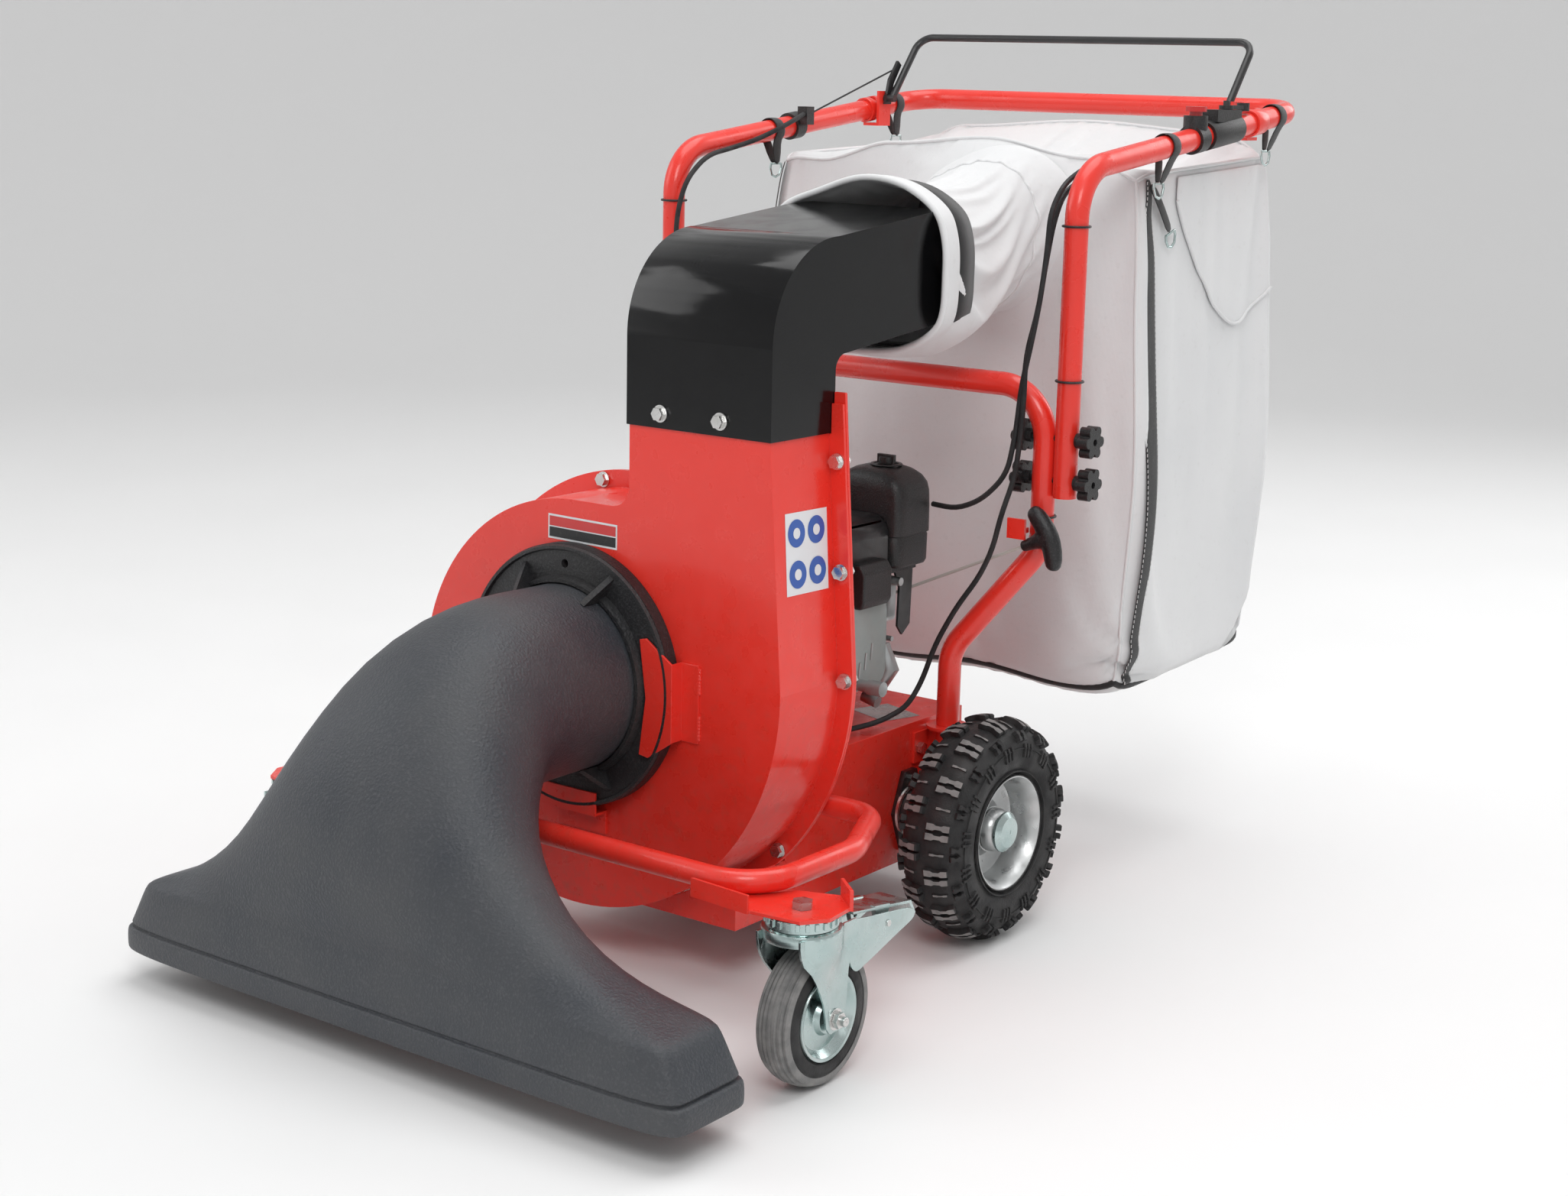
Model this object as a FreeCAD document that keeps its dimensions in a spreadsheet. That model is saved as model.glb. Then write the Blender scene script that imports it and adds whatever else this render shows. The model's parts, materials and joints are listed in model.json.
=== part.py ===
import FreeCAD, Part
import math
import os
import re
import Sketcher
from FreeCAD import Placement, Rotation, Vector

# Walk-behind leaf vacuum mulcher, in millimetres.
# -Y is the front (suction nozzle), +Y the rear (handle bar), +X the right side
# seen from the front, +Z up. The origin is on the ground under the centre of the
# machine's box.
SIZES = {
    # overall
    "half_length": 700.0,
    "tube_radius": 14.0,
    "tube_wall": 2.0,
    "sheet_steel": 3.0,
    # fan axis, shared by nozzle ring, housing, impeller and engine crankshaft
    "fan_x": -61.0,
    "fan_z": 337.0,
    # fan housing (volute)
    "housing_front_y": -316.0,
    "housing_back_y": -209.0,
    "scroll_x": -66.0,
    "scroll_low_z": 65.5,
    "scroll_small_radius": 234.5,
    "scroll_big_radius": 292.5,
    "chute_left_x": 14.0,
    "chute_top_x": 204.0,
    "chute_top_z": 660.0,
    "tongue_radius": 25.0,
    "flange_width": 20.0,
    "plate_steel": 4.0,
    "inlet_radius": 112.0,
    # chute elbow
    "elbow_low_z": 628.0,
    "elbow_wall": 2.0,
    "elbow_gap": 0.4,
    "elbow_knee_z": 725.0,
    "elbow_top_radius": 112.0,
    "elbow_rise": 0.11,
    "elbow_inner_z": 712.0,
    "elbow_end_y": -8.0,
    # impeller
    "impeller_radius": 182.0,
    "blade_depth": 62.0,
    "shaft_radius": 12.5,
    "shaft_gap": 0.05,
    # nozzle
    "ring_radius": 150.0,
    "ring_thick": 16.0,
    "collar_radius": 106.0,
    "nozzle_wall": 5.0,
    "rim_half_width": 400.0,
    "rim_depth": 131.0,
    "rim_low_z": 37.0,
    "rim_height": 27.0,
    # chassis
    "chassis_half_width": 147.0,
    "chassis_front_y": -285.0,
    "chassis_back_y": 165.0,
    "chassis_low_z": 70.0,
    "chassis_top_z": 241.0,
    # bumper and casters
    "bumper_radius": 12.5,
    "bumper_z": 205.0,
    "caster_x": 362.0,
    "caster_y": -452.0,
    "caster_trail": 22.0,
    "caster_wheel_radius": 75.0,
    "caster_wheel_width": 40.0,
    "caster_rim_radius": 46.0,
    "bracket_top_z": 192.3,
    # driven wheels
    "wheel_x": 257.5,
    "wheel_y": 46.0,
    "wheel_radius": 135.0,
    "wheel_width": 88.0,
    "rim_radius": 58.0,
    "axle_radius": 10.0,
    # frame and handle
    "socket_x": 175.0,
    "socket_y": 90.0,
    "socket_top_z": 237.0,
    "frame_x": 270.0,
    "frame_y": 132.0,
    "frame_bend_z": 460.0,
    "crossbar_z": 651.0,
    "handle_x": 299.0,
    "handle_low_z": 525.0,
    "handle_bend_z": 902.0,
    "handle_rear_y": 686.0,
    "handle_rear_z": 971.0,
    "knob_low_z": 544.0,
    "knob_high_z": 594.0,
    "knob_bolt_radius": 4.0,
    # bail
    "bail_x": 261.0,
    "bail_y": 562.0,
    "bail_z": 971.0,
    "bail_rod_radius": 5.0,
    "bail_top_y": 629.0,
    "bail_top_z": 1056.0,
    # bag
    "bag_half_width": 296.0,
    "bag_front_y": 312.0,
    "bag_back_y": 682.0,
    "bag_low_z": 248.0,
    "bag_front_top_z": 904.0,
    "bag_back_top_z": 940.0,
    "bag_wall": 5.0,
    "sleeve_x": 100.0,
    "sleeve_z": 796.0,
    "sleeve_half_width": 119.0,
    "sleeve_half_height": 104.0,
    "sleeve_front_y": 0.0,
    "sleeve_corner": 45.0,
    # engine
    "tank_low_z": 476.0,
    "tank_height": 92.0,
    "cable_radius": 3.2,
}

NODES = []
AXIS_TURN = {
    "x": Rotation(Vector(0, 1, 0), 90),
    "y": Rotation(Vector(1, 0, 0), -90),
    "z": Rotation(),
}
HEX_HEAD_RADIUS = 7.5
NO_TURN = Rotation()

doc = FreeCAD.newDocument("leaf_vacuum_mulcher")
sheet = doc.addObject("Spreadsheet::Sheet", "Sizes")
for row, (alias, value) in enumerate(SIZES.items(), start=1):
    sheet.set(f"A{row}", alias)
    sheet.set(f"B{row}", str(value))
    sheet.setAlias(f"B{row}", alias)
doc.recompute()


# ---- helpers: sizes and placements -------------------------------------------------
def formula(text):
    """Turn words of the size table into references to the sheet."""
    return re.sub(r"[a-z_]+", lambda hit: "Sizes." + hit[0] if hit[0] in SIZES else hit[0], str(text))


def number(text):
    """The value, in millimetres, of a formula."""
    value = sheet.evalExpression(formula(text))
    return float(getattr(value, "Value", value))


def bind(item, **formulas):
    for name, text in formulas.items():
        item.setExpression(name.replace("_of_", "."), formula(text))
    return item


def place(item, x, y, z, turn=NO_TURN):
    item.Placement = Placement(Vector(), turn)
    bind(item, Placement_of_Base_of_x=x, Placement_of_Base_of_y=y, Placement_of_Base_of_z=z)
    return item


def node(item, name):
    """Mark an object as a finished sub-part."""
    item.Label = name
    NODES.append(item)
    return item


# ---- helpers: primitives and booleans ----------------------------------------------
def box(name, x_range, y_range, z_range):
    """A block between the two given formulas along each axis."""
    item = doc.addObject("Part::Box", name)
    sides = [f"({high}) - ({low})" for low, high in (x_range, y_range, z_range)]
    bind(item, Length=sides[0], Width=sides[1], Height=sides[2])
    return place(item, x_range[0], y_range[0], z_range[0])


def cylinder(name, radius, length, x, y, z, axis="z"):
    item = doc.addObject("Part::Cylinder", name)
    bind(item, Radius=radius, Height=length)
    return place(item, x, y, z, AXIS_TURN[axis])


def cone(name, low_radius, high_radius, length, x, y, z, axis="z"):
    item = doc.addObject("Part::Cone", name)
    bind(item, Radius1=low_radius, Radius2=high_radius, Height=length)
    return place(item, x, y, z, AXIS_TURN[axis])


def ring(name, middle_radius, wire_radius, x, y, z, axis="z"):
    item = doc.addObject("Part::Torus", name)
    bind(item, Radius1=middle_radius, Radius2=wire_radius)
    return place(item, x, y, z, AXIS_TURN[axis])


def hexagon(name, radius, length, x, y, z, axis="z"):
    item = doc.addObject("Part::Prism", name)
    item.Polygon = 6
    bind(item, Circumradius=radius, Height=length)
    return place(item, x, y, z, AXIS_TURN[axis])


def fuse(name, *items):
    item = doc.addObject("Part::MultiFuse", name)
    item.Shapes = list(items)
    return item


def cut(name, base, *tools):
    item = doc.addObject("Part::Cut", name)
    item.Base = base
    item.Tool = tools[0] if len(tools) == 1 else fuse(name + "_tools", *tools)
    return item


def group(name, *items):
    """Separate solids that share one sub-part."""
    item = doc.addObject("Part::Compound", name)
    item.Links = list(items)
    return item


def mirror(name, source):
    """The same piece on the other side of the machine's middle plane."""
    item = doc.addObject("Part::Mirroring", name)
    item.Source = source
    item.Normal = Vector(1, 0, 0)
    return item


def rounded(name, source, radius, direction):
    """Round the straight edges that run along one axis."""
    doc.recompute()
    item = doc.addObject("Part::Fillet", name)
    item.Base = source
    edges = []
    for index, edge in enumerate(source.Shape.Edges, start=1):
        along = (edge.lastVertex().Point - edge.firstVertex().Point).normalize()
        if abs(abs(along.dot(direction)) - 1) < 1e-6:
            edges.append((index, radius, radius))
    item.Edges = edges
    return item


# ---- helpers: sketched bodies ------------------------------------------------------
def new_body(name, x=0, y=0, z=0):
    return place(doc.addObject("PartDesign::Body", name), x, y, z)


def new_sketch(body, plane, offset):
    sketch = body.newObject("Sketcher::SketchObject", body.Name + "_sketch")
    role = plane + "_Plane"
    support = [item for item in body.Origin.OriginFeatures if item.Role == role][0]
    sketch.AttachmentSupport = [(support, "")]
    sketch.MapMode = "FlatFace"
    bind(sketch, AttachmentOffset_of_Base_of_z=offset)
    return sketch


def fix_point(sketch, geometry, end, x, y):
    for kind, text in (("DistanceX", x), ("DistanceY", y)):
        index = sketch.addConstraint(Sketcher.Constraint(kind, -1, 1, geometry, end, number(text)))
        sketch.setExpression(f"Constraints[{index}]", formula(text))


def outline(body, plane, corners, arcs=None, offset=0):
    """Closed sketch through the corners; arcs maps a side to (centre, centre, turn)."""
    sketch = new_sketch(body, plane, offset)
    arcs = arcs or {}
    points = [Vector(number(x), number(y), 0) for x, y in corners]
    ends = []
    for side, start in enumerate(points):
        stop = points[(side + 1) % len(points)]
        if side not in arcs:
            sketch.addGeometry(Part.LineSegment(start, stop))
            ends.append((1, 2))
            continue
        centre = Vector(number(arcs[side][0]), number(arcs[side][1]), 0)
        first, last = (start, stop) if arcs[side][2] == "left" else (stop, start)
        angles = [math.atan2(point.y - centre.y, point.x - centre.x) for point in (first, last)]
        if angles[1] <= angles[0]:
            angles[1] += 2 * math.pi
        circle = Part.Circle(centre, Vector(0, 0, 1), (start - centre).Length)
        sketch.addGeometry(Part.ArcOfCircle(circle, *angles))
        ends.append((1, 2) if arcs[side][2] == "left" else (2, 1))
    count = len(points)
    for side in range(count):
        after = (side + 1) % count
        sketch.addConstraint(Sketcher.Constraint("Coincident", side, ends[side][1], after, ends[after][0]))
    for side, (x, y) in enumerate(corners):
        fix_point(sketch, side, ends[side][0], x, y)
    for side, arc in arcs.items():
        start, stop = points[side], points[(side + 1) % count]
        upright = abs(stop.y - start.y) >= abs(stop.x - start.x)
        kind, text = ("DistanceX", arc[0]) if upright else ("DistanceY", arc[1])
        index = sketch.addConstraint(Sketcher.Constraint(kind, -1, 1, side, 3, number(text)))
        sketch.setExpression(f"Constraints[{index}]", formula(text))
    return sketch


def disc(body, plane, radius, x=0, y=0, offset=0):
    """Sketch of one circle."""
    sketch = new_sketch(body, plane, offset)
    centre = Vector(number(x), number(y), 0)
    sketch.addGeometry(Part.Circle(centre, Vector(0, 0, 1), number(radius)))
    fix_point(sketch, 0, 3, x, y)
    index = sketch.addConstraint(Sketcher.Constraint("Radius", 0, number(radius)))
    sketch.setExpression(f"Constraints[{index}]", formula(radius))
    return sketch


def pad(body, sketch, length, backwards=False):
    item = body.newObject("PartDesign::Pad", body.Name + "_pad")
    item.Profile = sketch
    item.Reversed = backwards
    return bind(item, Length=length)


def pocket(body, sketch, length, backwards=False):
    """Cut the sketch away; by default against the sketch's own normal."""
    doc.recompute()
    before = body.Shape.Volume
    item = body.newObject("PartDesign::Pocket", body.Name + "_pocket")
    item.Profile = sketch
    item.Reversed = backwards
    bind(item, Length=length)
    doc.recompute()
    if body.Shape.Volume > before - 1:
        raise RuntimeError(body.Name + ": a pocket removed nothing")
    return item


def revolve(body, sketch, axis="H_Axis"):
    item = body.newObject("PartDesign::Revolution", body.Name + "_turn")
    item.Profile = sketch
    item.ReferenceAxis = (sketch, [axis])
    item.Angle = 360
    return item


def turned(name, corners, x, y, z):
    """A body turned about X through a point; corners are (along X, radius)."""
    body = new_body(name, x, y, z)
    revolve(body, outline(body, "XZ", corners))
    return body


def plate(name, plane, corners, thickness, x=0, y=0, z=0, arcs=None, backwards=False):
    body = new_body(name, x, y, z)
    pad(body, outline(body, plane, corners, arcs), thickness, backwards)
    return body


# ---- helpers: bent tubes -----------------------------------------------------------
def round_face(centre, direction, outer, inner):
    face = Part.Face(Part.Wire(Part.makeCircle(outer, centre, direction)))
    if inner:
        face = face.cut(Part.Face(Part.Wire(Part.makeCircle(inner, centre, direction)))).Faces[0]
    return face


def bent_tube(points, radii, outer, inner=0.0):
    """Straight runs joined by tangent arcs; radii has one bend radius per inner point."""
    pieces = []
    start = points[0]
    for index in range(1, len(points)):
        corner = points[index]
        run = (corner - points[index - 1]).normalize()
        if index == len(points) - 1:
            pieces.append(round_face(start, run, outer, inner).extrude(corner - start))
            break
        leave = (points[index + 1] - corner).normalize()
        half = run.getAngle(leave) / 2
        setback = radii[index - 1] * math.tan(half)
        bend_start = corner - run * setback
        pieces.append(round_face(start, run, outer, inner).extrude(bend_start - start))
        axis = run.cross(leave).normalize()
        pivot = bend_start + axis.cross(run) * radii[index - 1]
        face = round_face(bend_start, run, outer, inner)
        pieces.append(face.revolve(pivot, axis, math.degrees(2 * half)))
        start = corner + leave * setback
    return pieces[0].fuse(pieces[1:]).removeSplitter()


def cord_radii(points):
    """The largest tangent arc that each inner corner of a cord's route has room for."""
    radii = []
    for before, corner, after in zip(points, points[1:], points[2:]):
        run, leave = corner - before, after - corner
        half = run.getAngle(leave) / 2
        radii.append(0.45 * min(run.Length, leave.Length) / math.tan(half))
    return radii


def feature(name, shape):
    item = doc.addObject("Part::Feature", name)
    item.Shape = shape
    return item


def vectors(*rows):
    return [Vector(*[number(value) for value in row]) for row in rows]


def cord(name, rows):
    """A cable whose route is a list of points; prints its tightest bend."""
    points = vectors(*rows)
    radii = cord_radii(points)
    shape = bent_tube(points, radii, number("cable_radius"))
    print(f"{name}: tightest bend {min(radii):.0f} mm, volume {shape.Volume:.0f} mm3")
    return feature(name, shape)


# ---- fan housing -------------------------------------------------------------------
def scroll_outline(body, grow, top="chute_top_z", offset=0):
    """The housing's outline seen from the front, grown outwards by a distance."""
    corners = [
        (f"chute_left_x - ({grow})", top),
        (f"chute_left_x - ({grow})", "scroll_low_z + 2 * scroll_small_radius + tongue_radius"),
        ("chute_left_x - tongue_radius", f"scroll_low_z + 2 * scroll_small_radius + ({grow})"),
        ("scroll_x", f"scroll_low_z + 2 * scroll_small_radius + ({grow})"),
        ("scroll_x", f"scroll_low_z - ({grow})"),
        (f"scroll_x + scroll_big_radius + ({grow})", "scroll_low_z + scroll_big_radius"),
        (f"chute_top_x + ({grow})", top),
    ]
    tongue_centre = ("chute_left_x - tongue_radius",
                     "scroll_low_z + 2 * scroll_small_radius + tongue_radius", "right")
    arcs = {
        1: tongue_centre,
        3: ("scroll_x", "scroll_low_z + scroll_small_radius", "left"),
        4: ("scroll_x", "scroll_low_z + scroll_big_radius", "left"),
    }
    return outline(body, "XZ", corners, arcs, offset)


def below_scroll(name):
    """Block under the scroll's lowest line, which trims the flange there."""
    return box(name, ("-330", "330"), ("housing_front_y", "-190"), ("0", "scroll_low_z"))


def make_housing():
    depth = "housing_back_y - housing_front_y"
    body = new_body("housing_blank", 0, "housing_back_y", 0)
    pad(body, scroll_outline(body, "flange_width"), "plate_steel")
    pad(body, scroll_outline(body, 0), depth)
    pocket(body, scroll_outline(body, "-sheet_steel", "chute_top_z + 5"),
           f"{depth} - sheet_steel", True)
    pocket(body, disc(body, "XZ", "inlet_radius", "fan_x", "fan_z"), f"{depth} + 1", True)
    slots = [box(f"housing_elbow_slot_{index}", side, ("housing_back_y - plate_steel - 0.5", "housing_back_y + 1"),
                 ("elbow_low_z - 0.5", "chute_top_z + 20"))
             for index, side in enumerate((("chute_left_x - 6", "chute_left_x - 0.3"),
                                           ("chute_top_x + 2.7", "chute_top_x + 5.6")))]
    node(cut("fan_housing", body, below_scroll("housing_trim"), *slots), "fan_housing")

    back = new_body("back_blank", 0, "housing_back_y + plate_steel", 0)
    pad(back, scroll_outline(back, "flange_width", "chute_top_z + 12"), "plate_steel")
    pocket(back, disc(back, "XZ", "shaft_radius + 8", "fan_x", "fan_z"), "plate_steel", True)
    elbow_room = box("back_elbow_room", ("chute_left_x - 6", "chute_top_x + 5.6"),
                     ("housing_back_y - 5", "housing_back_y + 10"), ("elbow_low_z - 0.5", "chute_top_z + 40"))
    node(cut("housing_back_plate", back, below_scroll("back_trim"), elbow_room), "housing_back_plate")


def flange_bolt_places():
    """Bolt centres along the middle of the rear flange."""
    middle = number("flange_width / 2")
    slope = number("(chute_top_x - scroll_x - scroll_big_radius)"
                   " / (chute_top_z - scroll_low_z - scroll_big_radius)")
    corner_x = number("scroll_x + scroll_big_radius")
    corner_z = number("scroll_low_z + scroll_big_radius")
    places = [(corner_x + slope * (z - corner_z) + middle, z) for z in (598, 478, corner_z)]
    for angle in (-44, -72):
        radius = number("scroll_big_radius") + middle
        places.append((number("scroll_x") + radius * math.cos(math.radians(angle)),
                       corner_z + radius * math.sin(math.radians(angle))))
    for angle in (101, 128, 155, 182, 209, 236):
        radius = number("scroll_small_radius") + middle
        places.append((number("scroll_x") + radius * math.cos(math.radians(angle)),
                       number("scroll_low_z + scroll_small_radius")
                       + radius * math.sin(math.radians(angle))))
    return places


def flange_bolts():
    pieces = []
    for index, (x, z) in enumerate(flange_bolt_places()):
        head = hexagon(f"flange_head_{index}", HEX_HEAD_RADIUS, 6, x, "housing_back_y - plate_steel - 8", z, "y")
        washer = cylinder(f"flange_washer_{index}", 9, 1.9, x, "housing_back_y - plate_steel - 2", z, "y")
        nut = hexagon(f"flange_nut_{index}", HEX_HEAD_RADIUS, 7, x, "housing_back_y + plate_steel + 0.1", z, "y")
        pieces += [fuse(f"flange_bolt_{index}", head, washer), nut]
    return pieces


def make_clamps():
    """Three bent hooks welded to the front plate that hold the nozzle's ring."""
    lip_front = "housing_front_y - 0.5 - ring_thick - 1 - sheet_steel"
    lip_depth = "0.5 + ring_thick + 1 + sheet_steel"

    def side_clamp(name):
        lip = plate(name + "_lip", "XZ", [
            ("fan_x + 109", "fan_z - 70"), ("fan_x + 122", "fan_z - 72"),
            ("fan_x + ring_radius + 5", "fan_z - 50"), ("fan_x + ring_radius + 5", "fan_z + 38"),
            ("fan_x + 118", "fan_z + 62"), ("fan_x + 109", "fan_z + 60"),
            ("fan_x + 118", "fan_z - 5")], "sheet_steel", 0, f"{lip_front} + sheet_steel", 0)
        web = box(name + "_web", ("fan_x + ring_radius + 2", "fan_x + ring_radius + 5"),
                  (lip_front, "housing_front_y"), ("fan_z - 50", "fan_z + 38"))
        foot = box(name + "_foot", ("fan_x + ring_radius + 2", "fan_x + ring_radius + 28"),
                   ("housing_front_y - sheet_steel", "housing_front_y"), ("fan_z - 50", "fan_z + 38"))
        return fuse(name, lip, web, foot)

    right = side_clamp("clamp_right")
    left = doc.addObject("Part::Mirroring", "clamp_left")
    left.Source = side_clamp("clamp_left_source")
    left.Normal = Vector(1, 0, 0)
    bind(left, Base_of_x="fan_x")
    low = fuse("clamp_low",
               box("clamp_low_lip", ("fan_x - 46", "fan_x + 46"), (lip_front, f"{lip_front} + sheet_steel"),
                   ("fan_z - ring_radius - 5", "fan_z - ring_radius + 22")),
               box("clamp_low_web", ("fan_x - 46", "fan_x + 46"), (lip_front, f"{lip_front} + {lip_depth}"),
                   ("fan_z - ring_radius - 5", "fan_z - ring_radius - 2")),
               box("clamp_low_foot", ("fan_x - 26", "fan_x + 46"), ("housing_front_y - sheet_steel", "housing_front_y"),
                   ("fan_z - ring_radius - 30", "fan_z - ring_radius - 2")))
    node(group("nozzle_clamps", right, left, low), "nozzle_clamps")


def elbow_outline(body, inset, offset):
    """Side view of the elbow: up, over a round knee and back with a slight rise."""
    back = f"housing_back_y + elbow_gap + elbow_wall - ({inset})"
    front = f"housing_front_y - elbow_gap - elbow_wall + ({inset})"
    knee_y = "housing_front_y - elbow_gap - elbow_wall + elbow_top_radius"
    end = f"elbow_end_y + 4 * ({inset})"
    low = f"elbow_low_z - 4 * ({inset})"
    top = f"elbow_knee_z + elbow_top_radius - ({inset})"
    under = f"elbow_inner_z + ({inset})"
    corners = [
        (front, low), (back, low), (back, f"{under} - 18"), (f"{back} + 18", under),
        (end, f"{under} + elbow_rise * ({end} - ({back}) - 18)"),
        (end, f"{top} + elbow_rise * ({end} - ({knee_y}))"),
        (knee_y, top), (front, "elbow_knee_z"),
    ]
    arcs = {2: (f"{back} + 18", f"{under} - 18", "right"), 6: (knee_y, "elbow_knee_z", "left")}
    return outline(body, "YZ", corners, arcs, offset)


def make_elbow():
    right = "chute_top_x + 3"
    body = new_body("elbow_duct", "chute_left_x - elbow_gap - elbow_wall", 0, 0)
    width = f"{right} + elbow_wall - (chute_left_x - elbow_gap - elbow_wall)"
    pad(body, elbow_outline(body, 0, 0), width)
    pocket(body, elbow_outline(body, "elbow_wall", "elbow_wall"), f"{width} - 2 * elbow_wall", True)
    stem = cylinder("elbow_stud", 4, 9.8, "chute_left_x - elbow_gap - elbow_wall - 10", -262, 708, "x")
    grip = cylinder("elbow_grip", 10, 9, "chute_left_x - elbow_gap - elbow_wall - 14", -262, 708, "x")
    node(group("elbow_set", body, fuse("elbow_latch_knob", stem, grip)), "chute_elbow")


def elbow_bolts():
    bolts = []
    for index, x in enumerate((60, 142)):
        bolts.append(hexagon(f"elbow_head_{index}", HEX_HEAD_RADIUS, 6, x,
                             "housing_front_y - elbow_gap - elbow_wall - 8", "elbow_low_z + 16", "y"))
        bolts.append(cylinder(f"elbow_washer_{index}", 9.5, 1.8, x,
                              "housing_front_y - elbow_gap - elbow_wall - 1.9", "elbow_low_z + 16", "y"))
    return [fuse("elbow_bolt_left", *bolts[:2]), fuse("elbow_bolt_right", *bolts[2:])]


# ---- impeller, shaft and drive -----------------------------------------------------
def make_rotor():
    back = "housing_back_y - 12"
    disc_plate = cylinder("impeller_disc", "impeller_radius", 4, "fan_x", f"{back} - 4", "fan_z", "y")
    hub = cylinder("impeller_hub", 34, "blade_depth", "fan_x", f"{back} - blade_depth", "fan_z", "y")
    blades = []
    for index in range(6):
        blade = box(f"impeller_blade_{index}", ("0", "1"), ("0", "1"), ("0", "1"))
        bind(blade, Length="impeller_radius - 34", Width="blade_depth", Height="4")
        turn = Rotation(Vector(0, 1, 0), 60 * index + 15)
        start = turn.multVec(Vector(32, 0, -2))
        place(blade, f"fan_x + {start.x}", f"{back} - blade_depth", f"fan_z + ({start.z})", turn)
        blades.append(blade)
    bore = cylinder("impeller_bore", "shaft_radius", 200, "fan_x", -340, "fan_z", "y")
    node(cut("impeller", fuse("impeller_blank", disc_plate, hub, *blades), bore), "impeller")

    bars = []
    for index in range(2):
        bar = box(f"cutter_bar_{index}", ("0", "1"), ("0", "1"), ("0", "1"))
        bind(bar, Length="190", Width="5", Height="30")
        turn = Rotation(Vector(0, 1, 0), 90 * index + 40)
        start = turn.multVec(Vector(-95, 0, -15))
        place(bar, f"fan_x + ({start.x})", "housing_front_y + 10", f"fan_z + ({start.z})", turn)
        bars.append(bar)
    nose = cylinder("cutter_bore", "shaft_radius + shaft_gap", 60, "fan_x", "housing_front_y - 10", "fan_z", "y")
    node(cut("mulching_blade", fuse("cutter_cross", *bars), nose), "mulching_blade")

    shaft = cylinder("shaft_rod", "shaft_radius", 206, "fan_x", "housing_front_y + 9", "fan_z", "y")
    bolt = hexagon("shaft_bolt", 17, 8.8, "fan_x", "housing_front_y + 1", "fan_z", "y")
    pulley = grooved_pulley("crank_pulley", 32, "fan_x", "fan_z")
    node(fuse("crankshaft", shaft, bolt, pulley), "crankshaft")


BELT_MIDDLE_Y = -186.0
INPUT_Z = 166.0


def grooved_pulley(name, radius, x, z):
    """V-belt pulley: two cones meeting in a groove."""
    front = cone(name + "_front", radius, f"{radius} - 7", 8, x, BELT_MIDDLE_Y - 8, z, "y")
    back = cone(name + "_back", f"{radius} - 7", radius, 8, x, BELT_MIDDLE_Y, z, "y")
    return fuse(name, front, back)


def make_drive():
    shaft = cylinder("input_shaft", 8, 225, "fan_x", -200, INPUT_Z, "y")
    pulley = grooved_pulley("input_pulley", 58, "fan_x", INPUT_Z)
    node(fuse("gearbox_pulley", shaft, pulley), "gearbox_pulley")

    # the belt runs round the bottoms of the two grooves as one flat loop
    small, large = 32 - 3.2, 58 - 3.2
    upper, lower = number("fan_z"), INPUT_Z
    loop = []
    for thick in (0.0, 5.0):
        body = new_body(f"belt_loop_{int(thick)}", "fan_x", BELT_MIDDLE_Y + 4, 0)
        tilt = math.asin((large - small) / (upper - lower))
        points = []
        for side, radius, level in ((1, small, upper), (-1, small, upper), (-1, large, lower), (1, large, lower)):
            reach = radius + thick
            points.append((side * reach * math.cos(tilt), level + reach * math.sin(tilt)))
        arcs = {0: (0, upper, "left"), 2: (0, lower, "left")}
        pad(body, outline(body, "XZ", points, arcs), 8)
        loop.append(body)
    node(cut("drive_belt", loop[1], loop[0]), "drive_belt")

    casing = box("gearbox_block", ("fan_x - 42", "fan_x + 42"), ("wheel_y - 52", "wheel_y + 40"), (88, 196))
    soft = rounded("gearbox_soft", casing, 12, Vector(1, 0, 0))
    cover = cylinder("gearbox_cover", 44, 94, "fan_x - 47", "wheel_y", "wheel_radius", "x")
    bearing_boss = cylinder("gearbox_boss", 20, 20, "fan_x", "wheel_y - 70", INPUT_Z, "y")
    holes = [cylinder("gearbox_axle_hole", "axle_radius + shaft_gap", 200, "fan_x - 100", "wheel_y", "wheel_radius", "x"),
             cylinder("gearbox_input_hole", "8 + shaft_gap", 60, "fan_x", "wheel_y - 80", INPUT_Z, "y"),
             cylinder("gearbox_input_room", 20, 50, "fan_x", "wheel_y - 40", INPUT_Z, "y")]
    node(cut("wheel_gearbox", fuse("gearbox_blank", soft, cover, bearing_boss), *holes), "wheel_gearbox")


# ---- chassis -----------------------------------------------------------------------
def make_chassis():
    outer = box("chassis_outer", ("-chassis_half_width", "chassis_half_width"),
                ("chassis_front_y", "chassis_back_y"), ("chassis_low_z", "chassis_top_z"))
    inner = box("chassis_inner", ("-chassis_half_width + sheet_steel", "chassis_half_width - sheet_steel"),
                ("chassis_front_y + sheet_steel", "chassis_back_y - sheet_steel"),
                ("chassis_low_z - 5", "chassis_top_z - sheet_steel"))
    front_gap = new_body("chassis_scroll_room", 0, "housing_back_y", 0)
    pad(front_gap, scroll_outline(front_gap, "0.5"), "130")
    back_gap = new_body("chassis_flange_room", 0, "housing_back_y + plate_steel + 0.5", 0)
    pad(back_gap, scroll_outline(back_gap, "flange_width + 0.5"), "2 * plate_steel + 1")
    nut_room = box("chassis_nut_room", ("-165", "165"), ("housing_back_y - 130", "housing_back_y + 14"), (130, 250))
    belt_slot = box("chassis_belt_slot", ("fan_x - 54", "fan_x + 54"), (-200, -172), (200, 250))
    axle = cylinder("chassis_axle_holes", "axle_radius + 12", 400, -200, "wheel_y", "wheel_radius", "x")
    node(cut("chassis_box", outer, inner, front_gap, back_gap, nut_room, belt_slot, axle), "chassis_box")


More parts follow.
